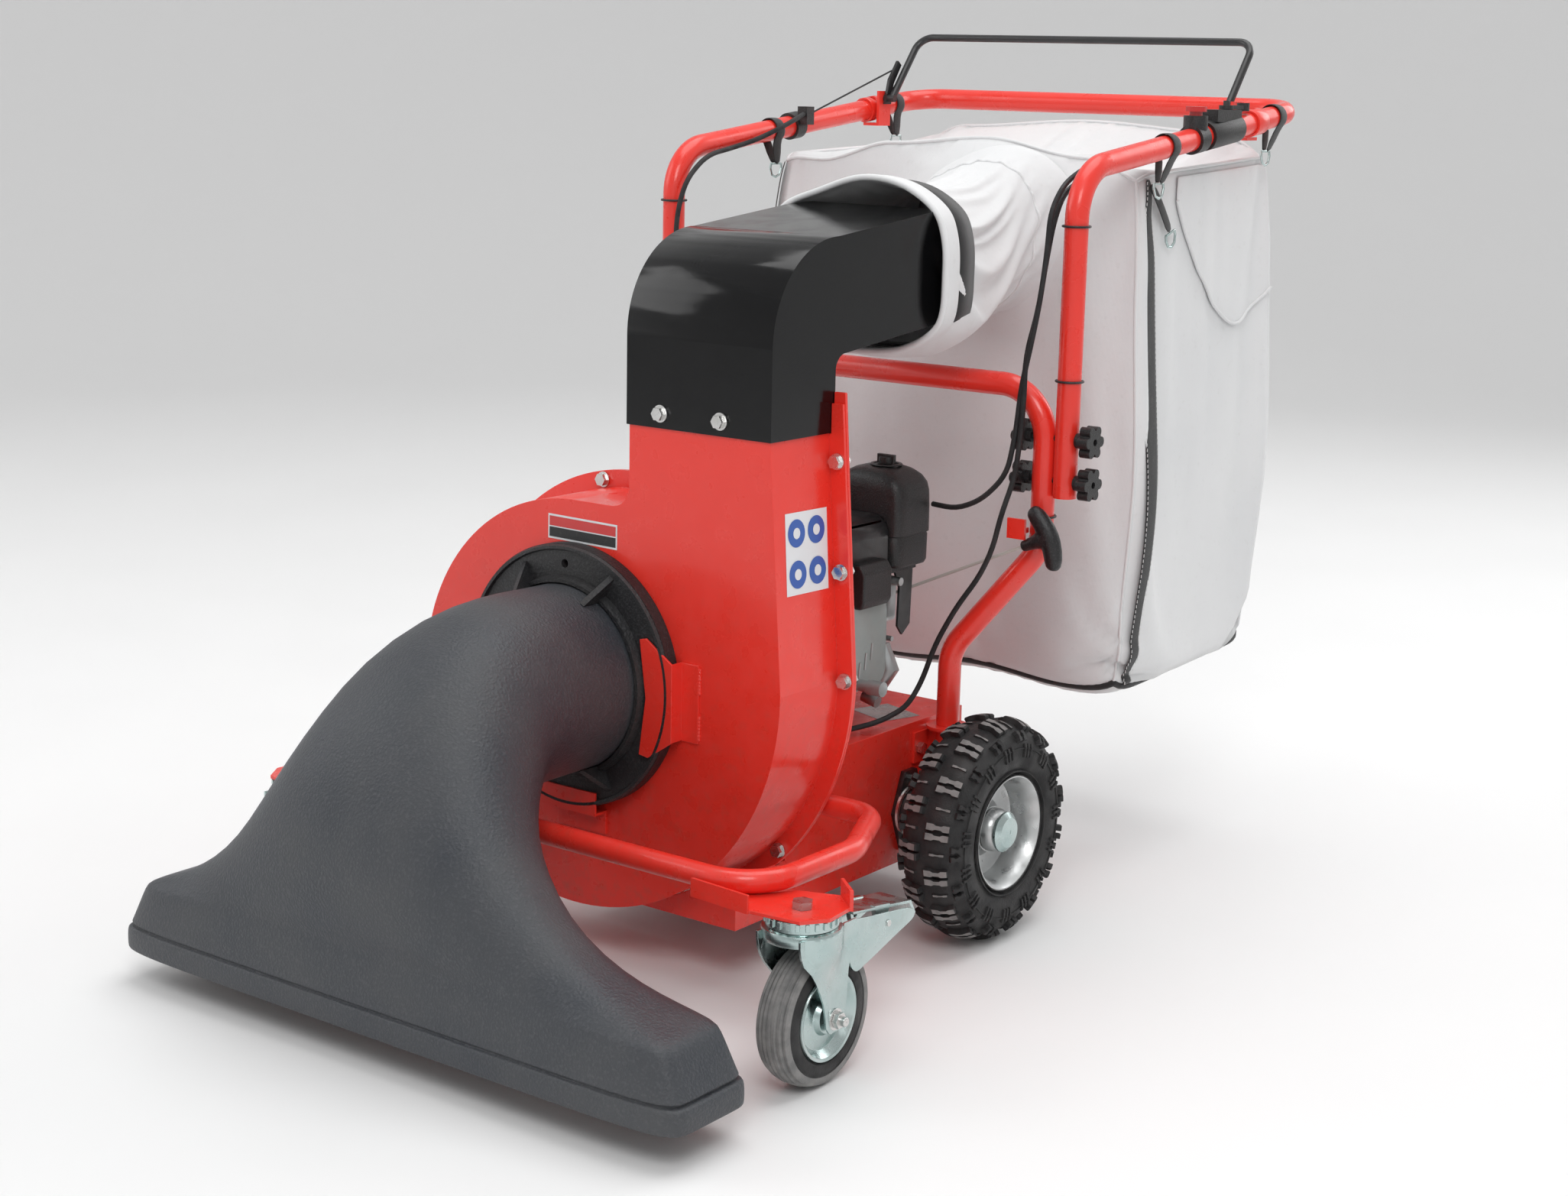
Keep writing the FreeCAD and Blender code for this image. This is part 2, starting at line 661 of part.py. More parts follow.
def make_sockets():
    post = cylinder("socket_post", "tube_radius", "socket_top_z - 105", "socket_x", "socket_y", 101)
    collar = cylinder("socket_collar", 26, 4, "socket_x", "socket_y", "socket_top_z - 4.2")
    web = box("socket_web", ("chassis_half_width + 0.2", "socket_x - 8"), ("socket_y - 4", "socket_y + 4"), (110, 228))
    flange = box("socket_flange", ("chassis_half_width + 0.2", "chassis_half_width + 4"),
                 ("socket_y - 34", "socket_y + 26"), (190, 228))
    right = fuse("socket_right", post, collar, web, flange)
    node(group("frame_sockets", right, mirror("socket_left", right)), "frame_sockets")


def chassis_bolts():
    bolts = []
    for index, (y, z) in enumerate(((66, 208), (107, 208))):
        bolts.append(hexagon(f"socket_bolt_{index}", HEX_HEAD_RADIUS, 7, "chassis_half_width + 4.2", y, z, "x"))
        bolts.append(hexagon(f"bearing_bolt_{index}", 6, 7, "chassis_half_width + 7.2", "wheel_y",
                             f"wheel_radius + ({38 - 76 * index})", "x"))
    right_bolts = group("chassis_bolts_right", *bolts)
    return [right_bolts, mirror("chassis_bolts_left", right_bolts)]


def make_hex_bolts():
    """All the hexagon bolts and nuts of one size share a sub-part."""
    node(group("hex_bolt_set", *flange_bolts(), *elbow_bolts(), *chassis_bolts()), "hex_bolts")


def make_bearings():
    body = new_body("bearing_flange", "chassis_half_width + 0.2", "wheel_y", "wheel_radius")
    pad(body, outline(body, "YZ", [(-12, -50), (12, -50), (31, 0), (12, 50), (-12, 50), (-31, 0)]), "7")
    boss = cylinder("bearing_boss", 25, 20, "chassis_half_width + 1", "wheel_y", "wheel_radius", "x")
    bore = cylinder("bearing_bore", "axle_radius + shaft_gap", 60, "chassis_half_width - 10", "wheel_y", "wheel_radius", "x")
    right = cut("bearing_right", fuse("bearing_blank", body, boss), bore)
    node(group("axle_bearings", right, mirror("bearing_left", right)), "axle_bearings")


def bumper_tube():
    z = "bumper_z"
    points = vectors(
        ("chassis_half_width + 0.3", -188, z), (262, -188, z), (316, -300, z), (316, -467, z),
        (-330, -467, z), (-330, -186, z), ("-chassis_half_width - 0.3", -186, z))
    radius = number("bumper_radius")
    shape = bent_tube(points, [45, 70, 62, 62, 38], radius, radius - number("tube_wall"))
    return feature("bumper_tube", shape)


def make_caster_brackets():
    body = new_body("bracket_plate", "caster_x", "caster_y", "bracket_top_z - plate_steel")
    corners = [(-112, -34), (-36, -40), (22, -34), (40, -8), (36, 30), (6, 56), (-36, 40), (-60, 6)]
    pad(body, outline(body, "XY", corners), "plate_steel")
    pocket(body, disc(body, "XY", "6.5"), "2 * plate_steel", True)
    front_lip = plate("bracket_front_lip", "XY", [(-114, -37), (-36, -43), (-36, -40), (-112, -34)], "20",
                      "caster_x", "caster_y", "bracket_top_z - plate_steel")
    side_lip = plate("bracket_side_lip", "XY", [(36, 30), (6, 56), (8, 59), (39, 33)], "22",
                     "caster_x", "caster_y", "bracket_top_z - plate_steel")
    right = fuse("bracket_right", body, front_lip, side_lip)
    node(group("bumper_set", bumper_tube(), right, mirror("bracket_left", right)), "front_bumper")

    head = hexagon("stem_head", 11, 8, "caster_x", "caster_y", "bracket_top_z + 0.1")
    stem = cylinder("stem_rod", 6, 34, "caster_x", "caster_y", "bracket_top_z - 33")
    cup = cylinder("stem_cup", 37, 11, "caster_x", "caster_y", "bracket_top_z - plate_steel - 11.2")
    stem_right = fuse("stem_right", head, stem, cup)
    node(group("caster_stems", stem_right, mirror("stem_left", stem_right)), "caster_stems")


def make_casters():
    wheel_y = "caster_y + caster_trail"
    head_z = "bracket_top_z - plate_steel - 11.5"
    cheek_corners = [
        ("caster_y - 38", 168), ("caster_y - 34", 138), ("caster_y - 4", 108), (f"{wheel_y} - 13", "caster_wheel_radius + 4"),
        (f"{wheel_y} - 7", "caster_wheel_radius - 13"), (f"{wheel_y} + 9", "caster_wheel_radius - 13"),
        (f"{wheel_y} + 15", "caster_wheel_radius + 4"), ("caster_y + 52", 118), ("caster_y + 150", 136),
        ("caster_y + 168", 150), ("caster_y + 164", 160), ("caster_y + 78", 168)]
    for side, name in ((1, "right"), (-1, "left")):
        x = f"{side} * caster_x"
        cheeks = [plate(f"fork_cheek_{name}_{index}", "YZ", cheek_corners, "sheet_steel", f"{x} + ({start})", 0, 0)
                  for index, start in enumerate((25, -28))]
        crown = box(f"fork_crown_{name}", (f"{x} - 28", f"{x} + 28"), ("caster_y - 38", "caster_y + 40"), (165, 168.5))
        head = cylinder(f"fork_head_{name}", 40, f"{head_z} - 166", x, "caster_y", 166)
        stem_hole = cylinder(f"fork_stem_hole_{name}", "6 + shaft_gap", 60, x, "caster_y", 140)
        pin = cylinder(f"fork_pin_{name}", 5, 66, f"{x} - 33", wheel_y, "caster_wheel_radius", "x")
        nut = hexagon(f"fork_nut_{name}", 10, 9, f"{x} + {28 if side > 0 else -37}", wheel_y, "caster_wheel_radius", "x")
        end = cylinder(f"fork_bolt_end_{name}", 5, 16, f"{x} + {28 if side > 0 else -44}", wheel_y, "caster_wheel_radius", "x")
        pedal_pin = cylinder(f"fork_pedal_pin_{name}", 3, 50, f"{x} - 25", "caster_y + 112", 152, "x")
        fork = cut(f"caster_fork_{name}", fuse(f"fork_blank_{name}", *cheeks, crown, head, pin, nut, end, pedal_pin),
                   stem_hole)
        node(fork, f"caster_fork_{name}")

        half = "caster_wheel_width / 2"
        tyre = turned(f"caster_tyre_{name}", [
            (f"-({half})", "caster_rim_radius"), (f"-({half})", "caster_wheel_radius - 12"),
            (f"-({half}) + 8", "caster_wheel_radius - 2"), (-6, "caster_wheel_radius"), (6, "caster_wheel_radius"),
            (f"({half}) - 8", "caster_wheel_radius - 2"), (half, "caster_wheel_radius - 12"), (half, "caster_rim_radius")],
            x, wheel_y, "caster_wheel_radius")
        node(tyre, f"caster_tyre_{name}")
        rim = turned(f"caster_rim_{name}", [
            (-22, "5 + shaft_gap"), (-22, 16), (-12, 18), (-10, 36), (-18, "caster_rim_radius - 3"),
            (-20, "caster_rim_radius"), (20, "caster_rim_radius"), (18, "caster_rim_radius - 3"),
            (10, 36), (12, 18), (22, 16), (22, "5 + shaft_gap")], x, wheel_y, "caster_wheel_radius")
        node(rim, f"caster_rim_{name}")

        tread = plate(f"pedal_tread_{name}", "YZ", [
            ("caster_y + 60", 176), ("caster_y + 60", 173), ("caster_y + 162", 158), ("caster_y + 171", 143),
            ("caster_y + 174", 145), ("caster_y + 165", 161)], "40", f"{x} - 20", 0, 0)
        lugs = plate(f"pedal_lug_{name}", "YZ", [
            ("caster_y + 98", 172), ("caster_y + 106", 145), ("caster_y + 118", 145), ("caster_y + 126", 168)],
            "6", f"{x} - 20", 0, 0)
        lug_two = plate(f"pedal_lug_two_{name}", "YZ", [
            ("caster_y + 98", 172), ("caster_y + 106", 145), ("caster_y + 118", 145), ("caster_y + 126", 168)],
            "6", f"{x} + 14", 0, 0)
        pin_hole = cylinder(f"pedal_pin_hole_{name}", "3 + shaft_gap", 60, f"{x} - 30", "caster_y + 112", 152, "x")
        node(cut(f"caster_brake_pedal_{name}", fuse(f"pedal_blank_{name}", tread, lugs, lug_two), pin_hole),
             f"caster_brake_pedal_{name}")


def make_wheels():
    half = "wheel_width / 2"
    tyres, rims = [], []
    for side, name in ((1, "right"), (-1, "left")):
        x = f"{side} * wheel_x"
        tyre = turned(f"drive_tyre_{name}", [
            (-35, "rim_radius"), (f"-({half})", 84), (f"-({half})", 112), (-34, 131), (-20, "wheel_radius"),
            (20, "wheel_radius"), (34, 131), (half, 112), (half, 84), (35, "rim_radius"), (27, "rim_radius"),
            (35, 86), (34, 108), (24, 122), (-24, 122), (-34, 108), (-35, 86), (-27, "rim_radius")],
            x, "wheel_y", "wheel_radius")
        tyres.append(tyre)
        profile = [(-36, "rim_radius - 2"), (-33, "rim_radius - 0.2"), (-24, 52), (24, 52), (33, "rim_radius - 0.2"),
                   (36, "rim_radius - 2"), (26, 48), (16, 47), (12, 22), (30, 22), (30, "axle_radius"),
                   (-30, "axle_radius"), (-30, 22), (6, 22), (9, 47), (-26, 48)]
        if side < 0:
            profile = [(f"-({along})", radius) for along, radius in profile]
        rims.append(turned(f"drive_rim_{name}", profile, x, "wheel_y", "wheel_radius"))
    node(group("drive_tyre_pair", *tyres), "drive_tyres")
    node(group("drive_rim_pair", *rims), "drive_rims")
    cap = turned("hub_cap_right", [(30.2, 0), (30.2, 24), (33, 24), (38, 18), (39, 0)], "wheel_x", "wheel_y", "wheel_radius")
    rod = cylinder("axle_rod", "axle_radius", "2 * wheel_x + 60", "-wheel_x - 30", "wheel_y", "wheel_radius", "x")
    node(group("axle_set", rod, cap, mirror("hub_cap_left", cap)), "drive_axle")


# ---- engine ------------------------------------------------------------------------
def make_engine():
    top = "chassis_top_z"
    case = rounded("crankcase_soft", box("crankcase_block", (-140, 26), (-160, 64), (f"{top} + 9", 412)), 22, Vector(0, 1, 0))
    base = box("crankcase_base", (-143, 34), (-150, 54), (f"{top} + 0.2", f"{top} + 12"))
    face = cylinder("crankcase_face", 46, 8, "fan_x", -167, "fan_z", "y")
    bore = cylinder("crankcase_bore", "shaft_radius + shaft_gap", 80, "fan_x", -180, "fan_z", "y")
    node(cut("engine_crankcase", fuse("crankcase_blank", case, base, face), bore), "engine_crankcase")

    core = box("cylinder_core", (30, 97), (-42, 26), (294, 396))
    fins = [box(f"cylinder_fin_{index}", (34 + 9 * index, 37 + 9 * index), (-56, 32), (284, 406)) for index in range(7)]
    block = fuse("cylinder_block", core, *fins)
    lid = rounded("valve_cover_soft", box("valve_cover_block", (97.2, 124), (-50, 27), (292, 400)), 20, Vector(1, 0, 0))
    node(lid, "valve_cover")
    plug = fuse("spark_plug", cylinder("plug_body", 7, 24, 126, -28, 300, "x"),
                cylinder("plug_boot", 9, 20, 140, -28, 300, "x"))
    node(group("cylinder_set", block, plug), "engine_cylinder")

    hood = box("shroud_block", (-40, 118), (-48, 34), (413, 494))
    hood_soft = rounded("shroud_soft", hood, 24, Vector(0, 1, 0))
    slots = [box(f"shroud_slot_{index}", (40 + 10 * index, 45 + 10 * index), (-60, -30), (462, 480)) for index in range(6)]
    room = box("shroud_room", (-34, 112), (-44, 30), (400, 488))
    hood_open = cut("shroud_hood", hood_soft, room, *slots)

    drum = cylinder("recoil_drum", 92, 56, "fan_x", 64.3, "fan_z", "y")
    dome = cone("recoil_dome", 92, 70, 14, "fan_x", 120.3, "fan_z", "y")
    nose = box("recoil_rope_nose", (20, 44), (94, 118), (352, 380))
    vents = []
    for index in range(10):
        angle = math.radians(36 * index)
        vents.append(cylinder(f"recoil_vent_{index}", 8, 40, f"fan_x + {52 * math.cos(angle)}", 105,
                              f"fan_z + ({52 * math.sin(angle)})", "y"))
    node(cut("recoil_housing", fuse("recoil_blank", drum, dome, nose), *vents), "recoil_housing")

    tank = box("tank_block", (-196, -44), (-62, 112), ("tank_low_z", "tank_low_z + tank_height"))
    tank_soft = rounded("tank_soft", tank, 26, Vector(0, 0, 1))
    neck = cylinder("tank_neck", 22, 8, -118, 20, "tank_low_z + tank_height - 1")
    legs = [box(f"tank_leg_{index}", (x, x + 14), (y, y + 24), (413, 480)) for index, (x, y) in
            enumerate(((-134, -30), (-134, 32), (-74, -30), (-74, 32)))]
    node(fuse("fuel_tank", tank_soft, neck, *legs), "fuel_tank")
    lid_disc = cylinder("cap_disc", 27, 14, -118, 20, "tank_low_z + tank_height + 7.3")
    grips = [cylinder(f"cap_grip_{index}", 4, 14, -118 + 27 * math.cos(math.radians(45 * index)),
                      20 + 27 * math.sin(math.radians(45 * index)), "tank_low_z + tank_height + 7.3") for index in range(8)]
    node(fuse("fuel_cap", lid_disc, *grips), "fuel_cap")

    can = rounded("muffler_soft", box("muffler_can", (-226, -166), (-70, 46), (352, 452)), 18, Vector(0, 1, 0))
    pipe = cylinder("muffler_pipe", 13, 39.6, -180, -24, 366, "x")
    outlet = cylinder("muffler_outlet", 9, 20, -196, -84, 380, "y")
    node(fuse("muffler", can, pipe, outlet), "muffler")

    body = rounded("carburettor_soft", box("carburettor_block", (52, 92), (44, 92), (352, 404)), 8, Vector(0, 1, 0))
    bowl = cylinder("carburettor_bowl", 20, 26, 72, 68, 327)
    throat = cylinder("carburettor_throat", 16, 12, 72, 33, 378, "y")
    node(fuse("carburettor", body, bowl, throat), "carburettor")

    cleaner = rounded("cleaner_upright", box("cleaner_block", (38, 130), (36, 114), (428, 548)), 16, Vector(0, 0, 1))
    duct = box("cleaner_duct", (56, 90), (56, 84), (404.2, 430))
    node(fuse("air_cleaner", cleaner, duct), "air_cleaner")
    knob = fuse("cleaner_knob_blank", cylinder("cleaner_knob_disc", 9, 8, 84, 75, 548.3),
                box("cleaner_knob_wing", (72, 96), (72.5, 77.5), (548.3, 559)))
    node(knob, "air_cleaner_knob")
    flap = plate("engine_side_flap", "YZ", [(58, 427), (99, 427), (96, 352), (80, 340), (70, 352), (72, 400)],
                 "3", 108, 0, 0)
    node(group("shroud_set", hood_open, flap), "cooling_shroud")


def make_recoil():
    rope = vectors((45.5, 106, 367.5), (263, 101, 466))
    along = (rope[1] - rope[0]).normalize()
    turn = Rotation(Vector(0, 0, 1), along)
    node(feature("recoil_rope", bent_tube(rope, [], 2.0)), "recoil_rope")
    start = rope[1] + along * 0.5
    stem = Part.makeCylinder(6, 30, start, along)
    grip = Part.makeCylinder(11, 76, start + along * 36 - turn.multVec(Vector(38, 0, 0)), turn.multVec(Vector(1, 0, 0)))
    node(feature("recoil_handle", stem.fuse(grip).removeSplitter()), "recoil_handle")
    hook = fuse("rope_guide", box("guide_arm", (246, 254), (97, 130), (478, 484)),
                box("guide_plate", (246, 270), (93, 97), (476, 500)))
    node(cut("rope_bracket", hook, cylinder("guide_trim", "tube_radius + 0.2", 60, "frame_x", "frame_y", 460)),
         "rope_bracket")


# ---- frame, handle and controls ----------------------------------------------------
def hoop(side_rows, corner_radii):
    """Points and bend radii of a tube that is the same on both sides."""
    right = vectors(*side_rows)
    left = [Vector(-point.x, point.y, point.z) for point in reversed(right)]
    return right + left, corner_radii + corner_radii[::-1]


def make_frame():
    outer = number("tube_radius")
    inner = outer - number("tube_wall")
    points, radii = hoop([
        ("socket_x", "socket_y", "socket_top_z"), ("socket_x", "socket_y", 330),
        ("frame_x", "frame_y", "frame_bend_z"), ("frame_x", "frame_y", "crossbar_z")], [60, 60, 62])
    tube = feature("frame_tube", bent_tube(points, radii, outer, inner))
    holes = [cylinder(f"frame_hole_{index}", "knob_bolt_radius + 0.1", 700, -350, "frame_y", z, "x")
             for index, z in enumerate(("knob_low_z", "knob_high_z"))]
    node(cut("lower_frame", tube, *holes), "lower_frame")

    points, radii = hoop([
        ("handle_x", "frame_y", "handle_low_z"), ("handle_x", "frame_y", "handle_bend_z"),
        ("handle_x", "handle_rear_y", "handle_rear_z")], [62, 48])
    tube = feature("handle_tube", bent_tube(points, radii, outer, inner))
    holes = [cylinder(f"handle_hole_{index}", "knob_bolt_radius + 0.1", 700, -350, "frame_y", z, "x")
             for index, z in enumerate(("knob_low_z", "knob_high_z"))]
    node(cut("upper_handle", tube, *holes), "upper_handle")


def star(name, x, z, thickness):
    """Star knob: a hub with six lobes, its axis along X."""
    lobes = [cylinder(f"{name}_hub", 14, thickness, x, "frame_y", z, "x")]
    for index in range(6):
        angle = math.radians(60 * index)
        lobes.append(cylinder(f"{name}_lobe_{index}", 6, thickness, x, f"frame_y + {14 * math.cos(angle)}",
                              f"{z} + ({14 * math.sin(angle)})", "x"))
    return fuse(name, *lobes)


def make_knobs():
    bolts = []
    for level in ("low", "high"):
        z = f"knob_{level}_z"
        rod = cylinder(f"clamp_rod_{level}", "knob_bolt_radius", 92, "frame_x - tube_radius - 22", "frame_y", z, "x")
        head = star(f"clamp_head_{level}", "frame_x - tube_radius - 22", z, 13)
        neck = cylinder(f"clamp_neck_{level}", 8, 6.8, "frame_x - tube_radius - 9", "frame_y", z, "x")
        bolt = fuse(f"clamp_bolt_{level}", rod, head, neck)
        bolts += [bolt, mirror(f"clamp_bolt_{level}_left", bolt)]
        for side, name in ((1, "right"), (-1, "left")):
            bore = cylinder(f"knob_bore_{level}_{name}", "knob_bolt_radius + shaft_gap", 60, "handle_x", "frame_y", z, "x")
            neck = cylinder(f"knob_neck_{level}_{name}", 9, 10, "handle_x + tube_radius + 0.3", "frame_y", z, "x")
            head = star(f"knob_star_{level}_{name}", "handle_x + tube_radius + 10", z, 14)
            knob = cut(f"knob_{level}_{name}", fuse(f"knob_blank_{level}_{name}", neck, head), bore)
            if side < 0:
                knob = mirror(f"knob_mirror_{level}", knob)
            node(knob, f"star_knob_{level}_{name}")
    node(group("clamp_bolts", *bolts), "clamp_bolts")


def handle_z(y):
    """Height of the handle tube's middle line at a place along the machine."""
    share = f"(({y}) - frame_y) / (handle_rear_y - frame_y)"
    return f"(handle_bend_z + (handle_rear_z - handle_bend_z) * {share})"


def make_bail():
    points, radii = hoop([
        ("bail_x", "bail_y", "bail_z"), ("bail_x", "bail_top_y", "bail_top_z")], [22])
    rod = feature("bail_rod_tube", bent_tube(points, radii, number("bail_rod_radius")))
    pins = [cylinder(f"bail_pin_{index}", "bail_rod_radius", 26, x, "bail_y", "bail_z", "x")
            for index, x in enumerate(("bail_x - 5", "-bail_x - 21"))]
    lever = plate("bail_lever", "YZ", [
        ("bail_y - 7", "bail_z - 8"), ("bail_y + 7", "bail_z - 8"), ("bail_y + 12", "bail_z + 20"),
        ("bail_y + 30", "bail_z + 46"), ("bail_y + 22", "bail_z + 52"), ("bail_y + 2", "bail_z + 26")],
        "4", "-bail_x - 10", 0, 0)
    node(fuse("bail_bar", rod, *pins, lever), "bail_bar")

    ear = plate("bail_ear", "YZ", [
        ("bail_y - 14", "bail_z + 10"), ("bail_y - 14", "bail_z - 34"), ("bail_y + 14", "bail_z - 34"),
        ("bail_y + 14", "bail_z + 10")], "4", "bail_x + 12", 0, 0)
    arm = box("bail_arm", ("bail_x + 12", "handle_x"), ("bail_y - 14", "bail_y + 14"), ("bail_z - 38", "bail_z - 34"))
    strap = cylinder("bail_strap", "tube_radius + 3", 28, "handle_x", "bail_y - 14", handle_z("bail_y - 14"), "y")
    room = cylinder("bail_strap_room", "tube_radius + 0.3", 60, "handle_x", "bail_y - 30", handle_z("bail_y - 30"), "y")
    rise = math.degrees(math.atan2(number("handle_rear_z - handle_bend_z"), number("handle_rear_y - frame_y")))
    for item in (strap, room):
        turn = Rotation(Vector(1, 0, 0), -90 + rise)
        spot = item.Placement.Base
        item.Placement = Placement(spot, turn)
    pin_hole = cylinder("bail_pin_hole", "bail_rod_radius + shaft_gap", 60, "bail_x - 20", "bail_y", "bail_z", "x")
    right = cut("bail_bracket_right", fuse("bail_bracket_blank", ear, arm, strap), room, pin_hole)
    node(group("bail_brackets", right, mirror("bail_bracket_left", right)), "bail_brackets")


def tube_band(name, x, y, radius_add, width):
    """Clamp band round the handle's side tube."""
    rise = math.degrees(math.atan2(number("handle_rear_z - handle_bend_z"), number("handle_rear_y - frame_y")))
    turn = Rotation(Vector(1, 0, 0), -90 + rise)
    outer = cylinder(name + "_outer", f"tube_radius + {radius_add}", width, x, y, handle_z(y), "y")
    inner = cylinder(name + "_inner", "tube_radius + 0.3", f"{width} + 20", x, f"{y} - 10", handle_z(f"{y} - 10"), "y")
    for item in (outer, inner):
        item.Placement = Placement(item.Placement.Base, turn)
    return outer, inner


def make_controls():
    outer, inner = tube_band("throttle_band", "handle_x", 430, 4, 80)
    case = box("throttle_case", ("handle_x - 12", "handle_x + 12"), (442, 506), (f"{handle_z(474)} + 12", f"{handle_z(474)} + 27"))
    pivot = cylinder("throttle_pivot", 4, 12, "handle_x", 486, f"{handle_z(474)} + 26")
    node(cut("throttle_body", fuse("throttle_blank", outer, case, pivot), inner), "throttle_body")
    lever = fuse("throttle_lever_blank",
                 cylinder("throttle_boss", 9, 5, "handle_x", 486, f"{handle_z(474)} + 27.3"),
                 box("throttle_blade", ("handle_x - 5", "handle_x + 5"), (486, 530), (f"{handle_z(474)} + 27.3", f"{handle_z(474)} + 32.3")),
                 cylinder("throttle_tip", 8, 10, "handle_x", 532, f"{handle_z(474)} + 25.3"))
    node(cut("throttle_lever", lever, cylinder("throttle_lever_bore", "4 + shaft_gap", 60, "handle_x", 486, 930)), "throttle_lever")

    outer, inner = tube_band("switch_band", "handle_x", 396, 4, 22)
    stand = cylinder("switch_stand", 15, 18, "handle_x", 407, f"{handle_z(407)} + 10")
    room = cylinder("switch_room", "8 + shaft_gap", 60, "handle_x", 407, f"{handle_z(407)} + 20")
    node(cut("stop_switch", fuse("switch_blank", outer, stand), inner, room), "stop_switch")
    node(fuse("stop_button", cylinder("button_stem", 8, 12, "handle_x", 407, f"{handle_z(407)} + 24.5"),
              cylinder("button_cap", 13, 6, "handle_x", 407, f"{handle_z(407)} + 33")), "stop_button")



def cable_clamp():
    outer, inner = tube_band("stop_band", "-handle_x", 372, 4, 20)
    post = box("cable_post", ("-bail_x - 24", "-bail_x - 8"), (374, 390), (f"{handle_z(382)} + 2", f"{handle_z(382)} + 26"))
    return cut("cable_clamp", fuse("cable_clamp_blank", outer, post), inner)


def make_cables():
    inside = "handle_x - 22"
    throttle = cord("throttle_cable", [
        (131, 108, 500), (170, 100, 500), (208, 96, 516), (236, 104, 548), (244, 108, 600), (249, 107, 652),
        (262, 104, 704), (274, 100, 756), (278, 104, 808), (inside, 110, 856), (inside, 136, 886),
        (inside, 180, f"{handle_z(180)} - 4"), (inside, 236, f"{handle_z(236)} - 6"),
        (inside, 292, f"{handle_z(292)} - 4"), (inside, 348, f"{handle_z(348)} - 8"),
        (inside, 392, f"{handle_z(392)} - 2"), (inside, 428, f"{handle_z(428)} + 4")])
    stop_wire = cord("stop_wire", [
        (100, -84, "chassis_top_z + 4"), (122, -62, "chassis_top_z + 8"), (146, -14, "chassis_top_z + 14"),
        (150, 38, "chassis_top_z + 24"), (150, 68, 290), (162, 76, 336), (190, 76, 386), (216, 84, 426),
        (232, 86, 462), (239, 90, 502), (247, 104, 546), (250, 108, 590), (254, 106, 636), (254, 106, 690), (266, 110, 742),
        (272, 112, 796), (276, 120, 846), (272, 146, 876), (271, 190, 892), (272, 240, 904), (272, 296, 908),
        (273, 350, 919), (276, 392, 932)])
    left_in = "-handle_x + 20"
    clutch = cord("clutch_cable", [
        ("-bail_x - 12", 371.5, f"{handle_z(382)} + 16"), ("-bail_x - 10", 330, f"{handle_z(330)} + 8"),
        (left_in, 280, f"{handle_z(280)} - 4"), (left_in, 226, f"{handle_z(226)} - 8"), (left_in, 172, f"{handle_z(172)} - 10"),
        ("-handle_x + 24", 126, 866), ("-handle_x + 28", 104, 824), ("-handle_x + 30", 100, 772), (-262, 104, 716),
        (-254, 106, 660), (-248, 108, 606), (-250, 106, 550), (-246, 102, 496), (-226, 92, 446), (-194, 82, 398),
        (-164, 80, 350), (-162, 70, 300), (-158, 42, 262), (-154, 4, 238), (-152, -38, 222), (-151.5, -84, 216)])
    pull = vectors(("-bail_x - 12", 391, f"{handle_z(382)} + 18"), ("-bail_x - 12", "bail_y + 14", "bail_z + 38"))
    wire = feature("bail_wire", bent_tube(pull, [], 1.2))
    node(group("cable_set", throttle, stop_wire, clutch, wire), "control_cables")
    bands = []
    for index, (x, z) in enumerate((("frame_x", 500), ("handle_x", 662), ("handle_x", 840))):
        bands.append(ring(f"tie_band_{index}", "tube_radius + 1.8", 1.4, x, "frame_y", z))
        bands.append(mirror(f"tie_band_left_{index}", bands[-1]))
    node(group("clip_set", *bands, cable_clamp()), "cable_clips")


